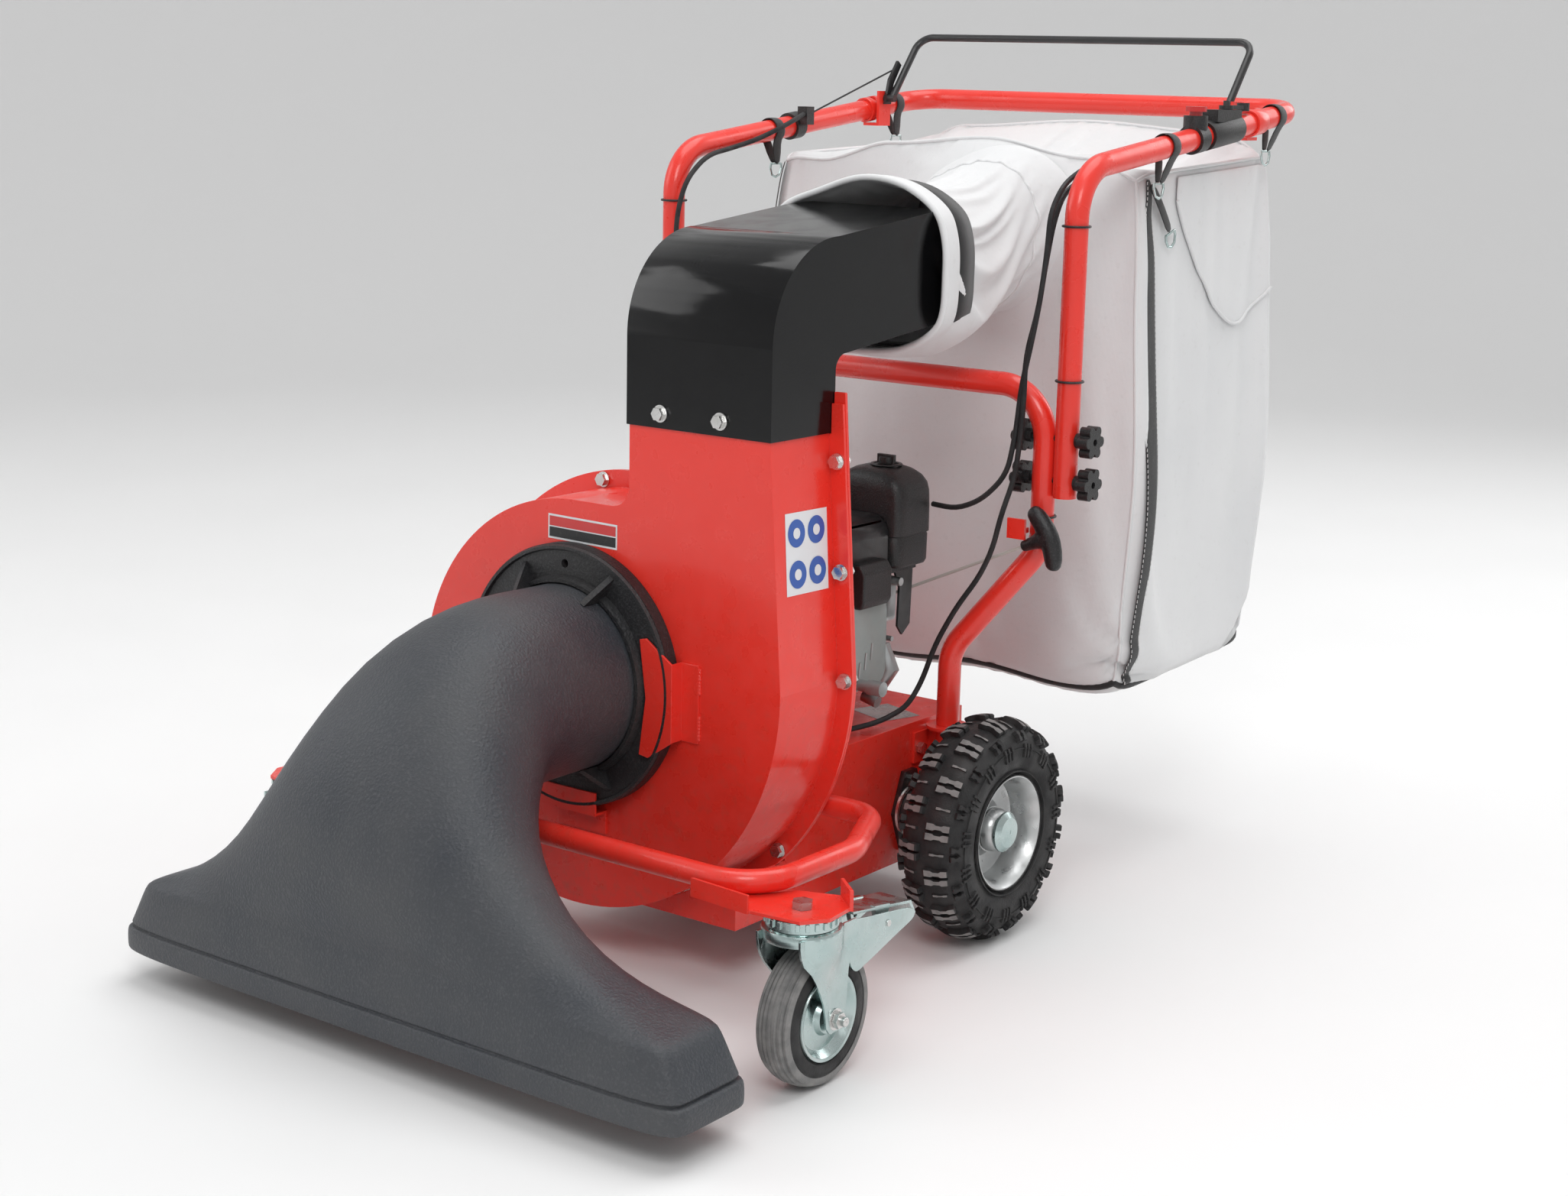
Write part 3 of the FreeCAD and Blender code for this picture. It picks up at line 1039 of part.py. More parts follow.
# ---- bag ---------------------------------------------------------------------------
def make_bag():
    def sack(name, inset, corner):
        sides = [("bag_front_y", "bag_low_z"), ("bag_back_y", "bag_low_z"),
                 ("bag_back_y", "bag_back_top_z"), ("bag_front_y", "bag_front_top_z")]
        signs = [(1, 1), (-1, 1), (-1, -1), (1, -1)]
        corners = [(f"{y} + ({sign_y * inset})", f"{z} + ({sign_z * inset})")
                   for (y, z), (sign_y, sign_z) in zip(sides, signs)]
        block = plate(name + "_block", "YZ", corners, f"2 * (bag_half_width - ({inset}))",
                      f"-bag_half_width + ({inset})")
        return rounded(name, block, corner, Vector(0, 0, 1))

    outer = sack("bag_outer", 0, 30)
    tunnel = rounded("sleeve_outer", box("sleeve_outer_block",
                     ("sleeve_x - sleeve_half_width", "sleeve_x + sleeve_half_width"), ("sleeve_front_y", "bag_front_y + 20"),
                     ("sleeve_z - sleeve_half_height", "sleeve_z + sleeve_half_height")), number("sleeve_corner"), Vector(0, 1, 0))
    room = sack("bag_inner", number("bag_wall"), 25)
    bore = rounded("sleeve_inner", box("sleeve_inner_block",
                   ("sleeve_x - sleeve_half_width + 4", "sleeve_x + sleeve_half_width - 4"),
                   ("sleeve_front_y - 5", "bag_front_y + 24"),
                   ("sleeve_z - sleeve_half_height + 4", "sleeve_z + sleeve_half_height - 4")),
                   number("sleeve_corner - 4"), Vector(0, 1, 0))
    node(cut("collection_bag", fuse("bag_blank", outer, tunnel), room, bore), "collection_bag")
    straps, rings = [], []
    for index, y in enumerate((322, 605)):
        outer_band, inner_band = tube_band(f"strap_{index}", "handle_x", y, 3, 24)
        drop = box(f"strap_drop_{index}", ("bag_half_width + 1", "bag_half_width + 4"), (y + 2, y + 22),
                   (f"{handle_z(y)} - 62", f"{handle_z(y)} - 12"))
        strap = cut(f"strap_right_{index}", fuse(f"strap_blank_{index}", outer_band, drop), inner_band)
        straps += [strap, mirror(f"strap_left_{index}", strap)]
    node(group("bag_straps", *straps), "bag_straps")


# ---- nozzle ------------------------------------------------------------------------
NOZZLE_SECTIONS = [
    # share of the way, middle x, y, z, tilt from facing front (deg), half width, half depth
    (-61.0, -335.6, 337.0, 0.0, 106.0, 106.0, 2.0),
    (-61.0, -352.0, 337.0, 0.0, 106.0, 106.0, 2.0),
    (-61.0, -430.0, 338.0, 0.0, 108.0, 107.0, 2.0),
    (-60.0, -478.0, 334.0, 14.0, 112.0, 107.0, 2.0),
    (-58.0, -520.0, 318.0, 34.0, 122.0, 104.0, 2.1),
    (-54.0, -556.0, 291.0, 49.0, 138.0, 97.0, 2.2),
    (-50.0, -588.0, 255.0, 62.0, 160.0, 88.0, 2.3),
    (-43.0, -608.0, 219.0, 71.0, 188.0, 79.0, 2.4),
    (-34.0, -622.0, 182.0, 80.0, 224.0, 70.0, 2.5),
    (-24.0, -629.0, 152.0, 86.0, 270.0, 63.0, 2.7),
    (-12.0, -632.0, 132.0, 90.0, 318.0, 57.0, 3.2),
    (-3.0, -633.0, 120.0, 90.0, 358.0, 54.0, 5.0),
    (0.0, -634.5, 92.0, 90.0, 384.0, 59.0, 8.0),
    (0.0, -634.5, 60.0, 90.0, 393.0, 61.5, 8.0),
]


def nozzle_wire(section, inset):
    """Super-ellipse section of the hood; a higher power is a squarer outline."""
    x, y, z, tilt, half_width, half_depth, power = section
    turn = Rotation(Vector(1, 0, 0), tilt)
    points = []
    for step in range(32):
        angle = 2 * math.pi * step / 32
        cosine, sine = math.cos(angle), math.sin(angle)
        across = math.copysign(abs(cosine) ** (2 / power), cosine) * (half_width - inset)
        along = math.copysign(abs(sine) ** (2 / power), sine) * (half_depth - inset)
        points.append(Vector(x, y, z) + turn.multVec(Vector(across, 0, along)))
    curve = Part.BSplineCurve()
    curve.interpolate(points, PeriodicFlag=True)
    return Part.Wire(curve.toShape())


def make_nozzle():
    outer = Part.makeLoft([nozzle_wire(section, 0.0) for section in NOZZLE_SECTIONS], True)
    wall = number("nozzle_wall")
    inner = Part.makeLoft([nozzle_wire(section, wall) for section in NOZZLE_SECTIONS], True)
    hood = feature("hood_shell", outer.cut(inner))

    front = "housing_front_y - 0.5 - ring_thick"
    blank = cylinder("nozzle_ring_blank", "ring_radius", "ring_thick", "fan_x", front, "fan_z", "y")
    ribs = []
    for index, angle in enumerate((62, 118, 242, 298)):
        rib = plate(f"nozzle_rib_{index}", "YZ", [(0, 100), (0, 138), (-36, 104), (-36, 100)], "7", 0, 0, 0)
        turn = Rotation(Vector(0, 1, 0), 90 - angle)
        shift = turn.multVec(Vector(-3.5, 0, 0))
        place(rib, f"fan_x + ({shift.x})", front, f"fan_z + ({shift.z})", turn)
        ribs.append(rib)
    bore = cylinder("nozzle_ring_bore", "collar_radius - nozzle_wall", 80, "fan_x", "housing_front_y - 70", "fan_z", "y")
    trim = cylinder("nozzle_rib_trim", "collar_radius + 1.2", 80, "fan_x", f"{front} - 80", "fan_z", "y")
    screw_hole = cylinder("nozzle_screw_hole", 5, 60, "fan_x - 4", "housing_front_y - 50", "fan_z + 128", "y")
    rib_set = cut("nozzle_rib_set", fuse("nozzle_ribs", *ribs), trim)
    node(cut("nozzle_ring", fuse("nozzle_ring_solid", blank, rib_set), bore, screw_hole), "nozzle_ring")

    low, high = "rim_low_z", "rim_low_z + rim_height"
    body = rounded("rim_outer", box("rim_block", ("-rim_half_width", "rim_half_width"),
                   ("-half_length", "-half_length + rim_depth"), (low, high)), 30, Vector(0, 0, 1))
    mouth = rounded("rim_inner", box("rim_mouth", ("-rim_half_width + 13", "rim_half_width - 13"),
                    ("-half_length + 8", "-half_length + rim_depth - 8"), (f"{low} - 5", f"{high} + 5")), 24, Vector(0, 0, 1))
    node(fuse("nozzle_moulding", hood, cut("nozzle_rim", body, mouth)), "nozzle_hood")


# ---- build, test and write ---------------------------------------------------------
def check_and_export():
    doc.recompute()
    for item in doc.Objects:
        bad = [state for state in item.State if state in ("Invalid", "Error")]
        if bad:
            raise RuntimeError(f"{item.Label}: {bad}")
    os.makedirs("parts", exist_ok=True)
    for item in NODES:
        shape = item.Shape
        if shape.isNull() or not shape.isValid() or not shape.Solids:
            raise RuntimeError(f"{item.Label}: empty or invalid shape")
        shape.exportStep(f"parts/{item.Label}.step")
    print(len(NODES), "sub-parts written")


def main():
    make_housing()
    make_clamps()
    make_elbow()
    make_rotor()
    make_drive()
    make_chassis()
    make_sockets()
    make_hex_bolts()
    make_bearings()
    make_caster_brackets()
    make_casters()
    make_wheels()
    make_engine()
    make_recoil()
    make_frame()
    make_knobs()
    make_bail()
    make_controls()
    make_cables()
    make_bag()
    make_nozzle()
    check_and_export()


main()
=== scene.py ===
import json
import math
import random

import bmesh
import bpy
from mathutils import Matrix, Vector, noise


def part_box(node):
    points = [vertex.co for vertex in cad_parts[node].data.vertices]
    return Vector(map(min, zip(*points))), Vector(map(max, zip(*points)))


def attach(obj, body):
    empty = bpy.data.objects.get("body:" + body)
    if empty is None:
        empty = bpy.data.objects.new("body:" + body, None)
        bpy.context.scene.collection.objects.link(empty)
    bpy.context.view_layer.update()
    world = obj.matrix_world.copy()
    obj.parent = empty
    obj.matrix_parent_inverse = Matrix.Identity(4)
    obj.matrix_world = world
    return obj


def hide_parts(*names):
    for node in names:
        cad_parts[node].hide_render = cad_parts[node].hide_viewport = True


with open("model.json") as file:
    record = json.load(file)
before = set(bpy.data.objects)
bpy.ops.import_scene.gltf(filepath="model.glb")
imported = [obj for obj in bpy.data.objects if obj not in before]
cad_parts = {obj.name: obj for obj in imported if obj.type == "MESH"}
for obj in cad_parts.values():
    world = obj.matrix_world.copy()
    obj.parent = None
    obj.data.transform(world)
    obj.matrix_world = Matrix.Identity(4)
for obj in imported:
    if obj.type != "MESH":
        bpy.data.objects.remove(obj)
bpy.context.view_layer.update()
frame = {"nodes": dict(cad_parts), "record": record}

NODES = frame["nodes"]
MM = 0.001
TAU = 2 * math.pi
random.seed(7)


# ---- materials ---------------------------------------------------------------------
def new_material(name, colour, rough, metal=0.0):
    mat = bpy.data.materials.new(name)
    mat.use_nodes = True
    shader = mat.node_tree.nodes["Principled BSDF"]
    shader.inputs["Base Color"].default_value = (*colour, 1)
    shader.inputs["Roughness"].default_value = rough
    shader.inputs["Metallic"].default_value = metal
    return mat, mat.node_tree, shader


def coordinates(tree, stretch=(1, 1, 1)):
    where = tree.nodes.new("ShaderNodeTexCoord")
    mapping = tree.nodes.new("ShaderNodeMapping")
    mapping.inputs["Scale"].default_value = stretch
    tree.links.new(where.outputs["Object"], mapping.inputs["Vector"])
    return mapping.outputs["Vector"]


def noise_value(tree, scale, low=0.35, high=0.65, detail=6, stretch=(1, 1, 1)):
    """Noise stretched to run from 0 to 1 between two of its levels."""
    texture = tree.nodes.new("ShaderNodeTexNoise")
    texture.inputs["Scale"].default_value = scale
    texture.inputs["Detail"].default_value = detail
    tree.links.new(coordinates(tree, stretch), texture.inputs["Vector"])
    span = tree.nodes.new("ShaderNodeMapRange")
    span.inputs["From Min"].default_value = low
    span.inputs["From Max"].default_value = high
    tree.links.new(texture.outputs["Fac"], span.inputs["Value"])
    return span.outputs["Result"]


def scaled(tree, value, low, high):
    span = tree.nodes.new("ShaderNodeMapRange")
    span.inputs["To Min"].default_value = low
    span.inputs["To Max"].default_value = high
    tree.links.new(value, span.inputs["Value"])
    return span.outputs["Result"]


def multiplied(tree, first, second):
    node = tree.nodes.new("ShaderNodeMath")
    node.operation = "MULTIPLY"
    tree.links.new(first, node.inputs[0])
    tree.links.new(second, node.inputs[1])
    return node.outputs["Value"]


def mix_colour(tree, shader, factor, colour):
    """Lays another colour over the base colour where the factor is high."""
    base = shader.inputs["Base Color"]
    mix = tree.nodes.new("ShaderNodeMix")
    mix.data_type = "RGBA"
    if base.is_linked:
        tree.links.new(base.links[0].from_socket, mix.inputs["A"])
    else:
        mix.inputs["A"].default_value = base.default_value
    mix.inputs["B"].default_value = (*colour, 1)
    tree.links.new(factor, mix.inputs["Factor"])
    tree.links.new(mix.outputs["Result"], base)


def low_dust(tree, level, reach):
    """High near the ground, fading out above a level."""
    where = tree.nodes.new("ShaderNodeNewGeometry")
    parts = tree.nodes.new("ShaderNodeSeparateXYZ")
    tree.links.new(where.outputs["Position"], parts.inputs["Vector"])
    span = tree.nodes.new("ShaderNodeMapRange")
    span.inputs["From Min"].default_value = level + reach
    span.inputs["From Max"].default_value = level
    tree.links.new(parts.outputs["Z"], span.inputs["Value"])
    return span.outputs["Result"]


def bump(tree, shader, height, strength, distance):
    node = tree.nodes.new("ShaderNodeBump")
    node.inputs["Strength"].default_value = strength
    node.inputs["Distance"].default_value = distance
    tree.links.new(height, node.inputs["Height"])
    if shader.inputs["Normal"].is_linked:
        tree.links.new(shader.inputs["Normal"].links[0].from_socket, node.inputs["Normal"])
    tree.links.new(node.outputs["Normal"], shader.inputs["Normal"])


def paint(name, colour, rough, dirt=(0.20, 0.13, 0.09), dirt_amount=0.25, grain=0.0006):
    """Gloss paint with orange peel, faint dust and dulled patches."""
    mat, tree, shader = new_material(name, colour, rough)
    shader.inputs["Coat Weight"].default_value = 0.35
    shader.inputs["Coat Roughness"].default_value = 0.12
    patches = noise_value(tree, 14, 0.45, 0.75)
    mix_colour(tree, shader, scaled(tree, patches, 0, 0.10), [c * 0.55 for c in colour])
    dust = multiplied(tree, noise_value(tree, 90, 0.50, 0.80), low_dust(tree, 0.05, 0.5))
    mix_colour(tree, shader, scaled(tree, dust, 0, dirt_amount), dirt)
    tree.links.new(scaled(tree, noise_value(tree, 35), rough * 0.75, rough * 1.45),
                   shader.inputs["Roughness"])
    bump(tree, shader, noise_value(tree, 320), 0.06, grain)
    return mat


def plastic(name, colour, rough, grain_scale, grain, dust=0.1, dust_colour=(0.30, 0.28, 0.25)):
    """Moulded plastic with a fine grain and dust lying in it."""
    mat, tree, shader = new_material(name, colour, rough)
    soft = noise_value(tree, 9, 0.35, 0.75)
    mix_colour(tree, shader, scaled(tree, soft, 0, dust), dust_colour)
    speck = noise_value(tree, grain_scale, 0.52, 0.72, 3)
    mix_colour(tree, shader, scaled(tree, speck, 0, 0.12), (0.22, 0.22, 0.23))
    tree.links.new(scaled(tree, soft, rough * 0.85, rough * 1.2), shader.inputs["Roughness"])
    bump(tree, shader, noise_value(tree, grain_scale, 0.3, 0.7, 3), 0.5, grain)
    return mat


def metal(name, colour, rough, tint, stretch=(1, 1, 1), stain=(0.16, 0.11, 0.07), stained=0.15):
    mat, tree, shader = new_material(name, colour, rough, 1.0)
    mix_colour(tree, shader, scaled(tree, noise_value(tree, 22, 0.35, 0.7), 0, 0.5), tint)
    mix_colour(tree, shader, scaled(tree, noise_value(tree, 60, 0.56, 0.8), 0, stained), stain)
    tree.links.new(scaled(tree, noise_value(tree, 45, stretch=stretch), rough * 0.7, rough * 1.5),
                   shader.inputs["Roughness"])
    bump(tree, shader, noise_value(tree, 260, stretch=stretch), 0.12, 0.0004)
    return mat


def cloth(name, colour, rough, thread, shade, strength=0.35):
    """Woven cloth: two crossing thread waves, soft colour change and sheen."""
    mat, tree, shader = new_material(name, colour, rough)
    shader.inputs["Sheen Weight"].default_value = 0.25
    height = None
    for direction in ("DIAGONAL", "Z"):
        wave = tree.nodes.new("ShaderNodeTexWave")
        wave.bands_direction = direction
        wave.inputs["Scale"].default_value = thread
        wave.inputs["Distortion"].default_value = 0.6
        tree.links.new(coordinates(tree, (1, 1, 0) if direction == "DIAGONAL" else (1, 1, 1)),
                       wave.inputs["Vector"])
        height = wave.outputs["Fac"] if height is None else multiplied(tree, height, wave.outputs["Fac"])
    mix_colour(tree, shader, scaled(tree, noise_value(tree, 5, 0.4, 0.75), 0, 0.30), shade)
    mix_colour(tree, shader, scaled(tree, noise_value(tree, 120, 0.6, 0.8), 0, 0.10), (0.35, 0.32, 0.27))
    bump(tree, shader, height, strength, 0.0004)
    bump(tree, shader, noise_value(tree, 26, 0.3, 0.7, 4), 0.25, 0.002)
    return mat


def rubber(name, colour, dust_colour, dust, dust_scale=40):
    mat, tree, shader = new_material(name, colour, 0.62)
    mix_colour(tree, shader, scaled(tree, noise_value(tree, dust_scale, 0.35, 0.7), dust * 0.2, dust),
               dust_colour)
    tree.links.new(scaled(tree, noise_value(tree, 30), 0.5, 0.85), shader.inputs["Roughness"])
    bump(tree, shader, noise_value(tree, 420, 0.3, 0.7, 4), 0.35, 0.0006)
    return mat


RED = (0.850, 0.036, 0.022)
M = {
    "red_paint": paint("red_paint", RED, 0.30),
    "white_paint": paint("white_paint", (0.80, 0.79, 0.77), 0.28),
    "black_steel": paint("black_steel", (0.012, 0.012, 0.013), 0.38),
    "gloss_black": paint("gloss_black", (0.0025, 0.0025, 0.0030), 0.13, dirt_amount=0.06, grain=0.0003),
    "black_plastic": plastic("black_plastic", (0.008, 0.008, 0.009), 0.42, 600, 0.0004, 0.05),
    "ring_black": plastic("ring_black", (0.012, 0.012, 0.014), 0.48, 380, 0.0009, 0.06),
    "nozzle_grey": plastic("nozzle_grey", (0.036, 0.041, 0.050), 0.46, 330, 0.0011, 0.10),
    "cover_grey": paint("cover_grey", (0.30, 0.34, 0.33), 0.45),
    "cast_alloy": metal("cast_alloy", (0.52, 0.54, 0.54), 0.45, (0.36, 0.38, 0.38)),
    "fan_steel": metal("fan_steel", (0.50, 0.50, 0.50), 0.38, (0.30, 0.29, 0.28)),
    "zinc": metal("zinc", (0.54, 0.62, 0.61), 0.24, (0.34, 0.48, 0.47)),
    "bolt_zinc": metal("bolt_zinc", (0.74, 0.74, 0.73), 0.24, (0.55, 0.54, 0.52)),
    "wheel_steel": metal("wheel_steel", (0.60, 0.61, 0.61), 0.36, (0.42, 0.43, 0.43)),
    "muffler_steel": metal("muffler_steel", (0.16, 0.14, 0.13), 0.60, (0.20, 0.12, 0.08)),
    "tyre_rubber": rubber("tyre_rubber", (0.009, 0.009, 0.010), (0.13, 0.125, 0.12), 0.20),
    "tread_grey": rubber("tread_grey", (0.15, 0.15, 0.15), (0.32, 0.31, 0.30), 0.80, 70),
    "belt_rubber": rubber("belt_rubber", (0.015, 0.015, 0.015), (0.08, 0.08, 0.08), 0.3),
    "cable_black": rubber("cable_black", (0.010, 0.010, 0.011), (0.05, 0.05, 0.05), 0.2),
    "cord_white": cloth("cord_white", (0.55, 0.54, 0.50), 0.8, 900, (0.3, 0.3, 0.28)),
    "button_red": paint("button_red", (0.55, 0.02, 0.02), 0.25),
    "bag_cloth": cloth("bag_cloth", (0.78, 0.785, 0.79), 0.74, 420, (0.60, 0.61, 0.63)),
    "strap_web": cloth("strap_web", (0.013, 0.013, 0.014), 0.7, 700, (0.03, 0.03, 0.03)),
    "thread_white": cloth("thread_white", (0.75, 0.75, 0.74), 0.7, 2200, (0.5, 0.5, 0.5)),
    "label_white": paint("label_white", (0.78, 0.79, 0.81), 0.4),
    "label_blue": paint("label_blue", (0.02, 0.10, 0.42), 0.4),
    "label_red": paint("label_red", (0.62, 0.03, 0.03), 0.4),
}


POLISH = M["gloss_black"].node_tree.nodes["Principled BSDF"]
POLISH.inputs["Specular IOR Level"].default_value = 0.30
POLISH.inputs["Coat Weight"].default_value = 0.10


def dress_cad():
    """Gives every CAD node the detailed material of its slot."""
    slots = {item["node"]: item["material_slot"] for item in frame["record"]["subparts"]}
    for name, item in NODES.items():
        item.data.materials.clear()
        item.data.materials.append(M["bolt_zinc"] if name == "hex_bolts" else M[slots[name]])


# ---- mesh helpers ------------------------------------------------------------------
def finish_piece(item, slot, body, replaces=(), look=None):
    item.data.materials.append(M[look or slot])
    if replaces:
        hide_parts(*replaces)
    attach(item, body)
    return item


def mesh_object(name, points, faces, sharp=35):
    data = bpy.data.meshes.new(name)
    data.from_pydata([tuple(p) for p in points], [], faces)
    data.validate()
    work = bmesh.new()
    work.from_mesh(data)
    bmesh.ops.recalc_face_normals(work, faces=work.faces)
    work.to_mesh(data)
    work.free()
    data.polygons.foreach_set("use_smooth", [True] * len(data.polygons))
    if sharp:
        data.set_sharp_from_angle(angle=math.radians(sharp))
    item = bpy.data.objects.new(name, data)
    bpy.context.scene.collection.objects.link(item)
    return item


def bevelled(item, width, segments=2, angle=30):
    mod = item.modifiers.new("bevel", "BEVEL")
    mod.width = width
    mod.segments = segments
    mod.limit_method = "ANGLE"
    mod.angle_limit = math.radians(angle)
    mod.harden_normals = True
    return item


def subdivided(item, level):
    mod = item.modifiers.new("subdivision", "SUBSURF")
    mod.levels = level
    mod.render_levels = level
    return item


def thickened(item, thickness, offset=-1):
    mod = item.modifiers.new("thickness", "SOLIDIFY")
    mod.thickness = thickness
    mod.offset = offset
    return item


def grid_faces(rows, columns, closed=True):
    """Quads between rows of points that follow each other."""
    faces = []
    last = columns if closed else columns - 1
    for row in range(rows - 1):
        for column in range(last):
            after = (column + 1) % columns
            faces.append((row * columns + column, row * columns + after,
                          (row + 1) * columns + after, (row + 1) * columns + column))
    return faces


def joined(name, pieces):
    """One mesh from several (points, faces) pairs."""
    points, faces = [], []
    for some_points, some_faces in pieces:
        start = len(points)
        points += list(some_points)
        faces += [tuple(start + index for index in face) for face in some_faces]
    return mesh_object(name, points, faces)


def spun(profile, centre, axis="x", steps=64, closed=True):
    """(points, faces) of a profile of (along, radius) turned about an axis through a centre."""
    points = []
    for step in range(steps):
        angle = TAU * step / steps
        for along, radius in profile:
            across, up = radius * math.cos(angle), radius * math.sin(angle)
            local = {"x": (along, across, up), "y": (across, along, up), "z": (across, up, along)}[axis]
            points.append(Vector(centre) + Vector(local))
    count = len(profile)
    faces = []
    for step in range(steps):
        after = (step + 1) % steps
        for index in range(count if closed else count - 1):
            right = (index + 1) % count
            faces.append((step * count + index, step * count + right, after * count + right,
                          after * count + index))
    return points, faces


def mirrored(profile, side):
    """A profile of (along, radius) with its length turned the other way where side is -1."""
    return [(side * along, radius) for along, radius in profile]


def box_middle(node):
    low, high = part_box(node)
    return (low + high) / 2


def prism(outline, low, high, place):
    """(points, faces) of a flat outline pushed from low to high; place(u, v, w) gives the point."""
    count = len(outline)
    points = [place(u, v, low) for u, v in outline] + [place(u, v, high) for u, v in outline]
    faces = [tuple(range(count)), tuple(range(2 * count - 1, count - 1, -1))]
    for index in range(count):
        after = (index + 1) % count
        faces.append((index, after, count + after, count + index))
    return points, faces


def block(low, high):
    outline = [(low[0], low[1]), (high[0], low[1]), (high[0], high[1]), (low[0], high[1])]
    return prism(outline, low[2], high[2], lambda u, v, w: Vector((u, v, w)))


def smooth_loop(corners, steps=6):
    """A closed Catmull-Rom curve through corners, as points."""
    points = []
    count = len(corners)
    for index in range(count):
        p0, p1, p2, p3 = (Vector(corners[(index + shift) % count]) for shift in (-1, 0, 1, 2))
        for step in range(steps):
            t = step / steps
            points.append(0.5 * ((2 * p1) + (p2 - p0) * t + (2 * p0 - 5 * p1 + 4 * p2 - p3) * t * t
                                 + (3 * p1 - 3 * p2 + p3 - p0) * t * t * t))
    return points


def tube(name, points, radius, slot, body, look=None, replaces=()):
    """A round bar or cord along a smooth line."""
    data = bpy.data.curves.new(name, "CURVE")
    data.dimensions = "3D"
    data.bevel_depth = radius
    data.bevel_resolution = 5
    data.resolution_u = 10
    data.use_fill_caps = True
    line = data.splines.new("NURBS")
    line.order_u = 3
    line.use_endpoint_u = True
    line.points.add(len(points) - 1)
    for index, point in enumerate(points):
        line.points[index].co = (*point, 1)
    item = bpy.data.objects.new(name, data)
    bpy.context.scene.collection.objects.link(item)
    return finish_piece(item, slot, body, replaces, look)


def ribbon(name, points, across, slot, body, thickness=0.0016, look=None):
    """A flat band along points; across is the width vector at each of them."""
    rows = []
    for point, wide in zip(points, across):
        rows += [Vector(point) - Vector(wide) / 2, Vector(point) + Vector(wide) / 2]
    item = mesh_object(name, rows, grid_faces(len(points), 2, closed=False), sharp=0)
    thickened(item, thickness, 0)
    subdivided(item, 1)
    return finish_piece(item, slot, body, look=look)


# ---- nozzle ------------------------------------------------------------------------
RIM_Y = -634.5
NECK_SECTIONS = [
    # middle x, y, z, tilt from facing forward, half width, half depth, squareness
    (-61, -336, 337, 0, 106, 106, 2.0),
    (-61, -352, 337, 0, 106, 106, 2.0),
    (-61, -385, 337.5, 0, 106, 106, 2.0),
    (-61, -430, 338, 0, 108, 107, 2.0),
    (-60, -478, 334, 14, 112, 107, 2.0),
    (-58, -520, 318, 34, 122, 104, 2.1),
    (-54, -556, 291, 49, 138, 97, 2.2),
    (-50, -588, 255, 62, 160, 88, 2.3),
    (-43, -608, 219, 71, 188, 79, 2.4),
    (-34, -622, 182, 80, 224, 70, 2.5),
    (-24, -629, 152, 86, 270, 63, 2.7),
    (-12, -632, 132, 90, 318, 57, 3.2),
    (-3, -633, 122, 90, 354, 53, 5.0),
]
SKIRT_SECTIONS = [
    # z, half width, half depth
    (116, 371, 53.5), (110, 376, 55), (90, 385, 58.5), (72, 393, 61.5), (68.5, 395, 62.5), (67.3, 394, 62),
    (66.8, 391, 60), (64.6, 391, 60), (64.0, 396, 63.5), (62.5, 399, 65), (55, 400, 65.5), (41, 400, 65.5),
    (38.2, 399, 65), (37.1, 396, 62), (37.2, 389, 58), (40, 387, 57), (64, 386, 56),
]


def section_points(section, count=96):
    x, y, z, tilt, half_width, half_depth, power = section
    turn = Matrix.Rotation(math.radians(tilt), 3, "X")
    points = []
    for step in range(count):
        angle = TAU * (step + 0.5) / count
        cosine, sine = math.cos(angle), math.sin(angle)
        across = math.copysign(abs(cosine) ** (2 / power), cosine) * half_width
        along = math.copysign(abs(sine) ** (2 / power), sine) * half_depth
        points.append((Vector((x, y, z)) + turn @ Vector((across, 0, along))) * MM)
    return points


def make_nozzle():
    sections = list(NECK_SECTIONS)
    sections += [(0, RIM_Y, z, 90, wide, deep, 9.0) for z, wide, deep in SKIRT_SECTIONS]
    rows = [section_points(section) for section in sections]
    points = [point for row in rows for point in row]
    hood = mesh_object("nozzle_moulding", points, grid_faces(len(rows), len(rows[0])), sharp=0)
    subdivided(hood, 1)
    finish_piece(hood, "nozzle_grey", "nozzle", ["nozzle_hood"])
    inner = [section_points((x, y, z, tilt, wide - 5, deep - 5, power))
             for x, y, z, tilt, wide, deep, power in NECK_SECTIONS]
    inner.append(section_points((0, RIM_Y, 64, 90, 386, 56, 9.0)))
    lining = mesh_object("nozzle_lining", [point for row in inner for point in row],
                         grid_faces(len(inner), len(inner[0])), sharp=0)
    subdivided(lining, 1)
    finish_piece(lining, "nozzle_grey", "nozzle")
    low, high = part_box("nozzle_ring")
    middle = ((low.x + high.x) / 2, high.y - 0.016, (low.z + high.z) / 2)
    bead = [(-0.0005, 0.143), (-0.004, 0.1445), (-0.004, 0.148), (-0.0005, 0.1497)]
    inner_bead = [(-0.0005, 0.1075), (-0.010, 0.1080), (-0.010, 0.1120), (-0.0005, 0.1150)]
    rings = joined("nozzle_ring_beads", [spun(bead, middle, "y", 96), spun(inner_bead, middle, "y", 96)])
    finish_piece(rings, "ring_black", "nozzle")


# ---- tyres and wheels --------------------------------------------------------------
CARCASS_MIDDLE = 0.0935
CARCASS_HEIGHT = 0.0345
CARCASS_HALF = 0.0415
CARCASS_SPAN = 152
TYRE_HALF_WIDTH = 0.044
TREAD_TOP_RADIUS = 0.1235


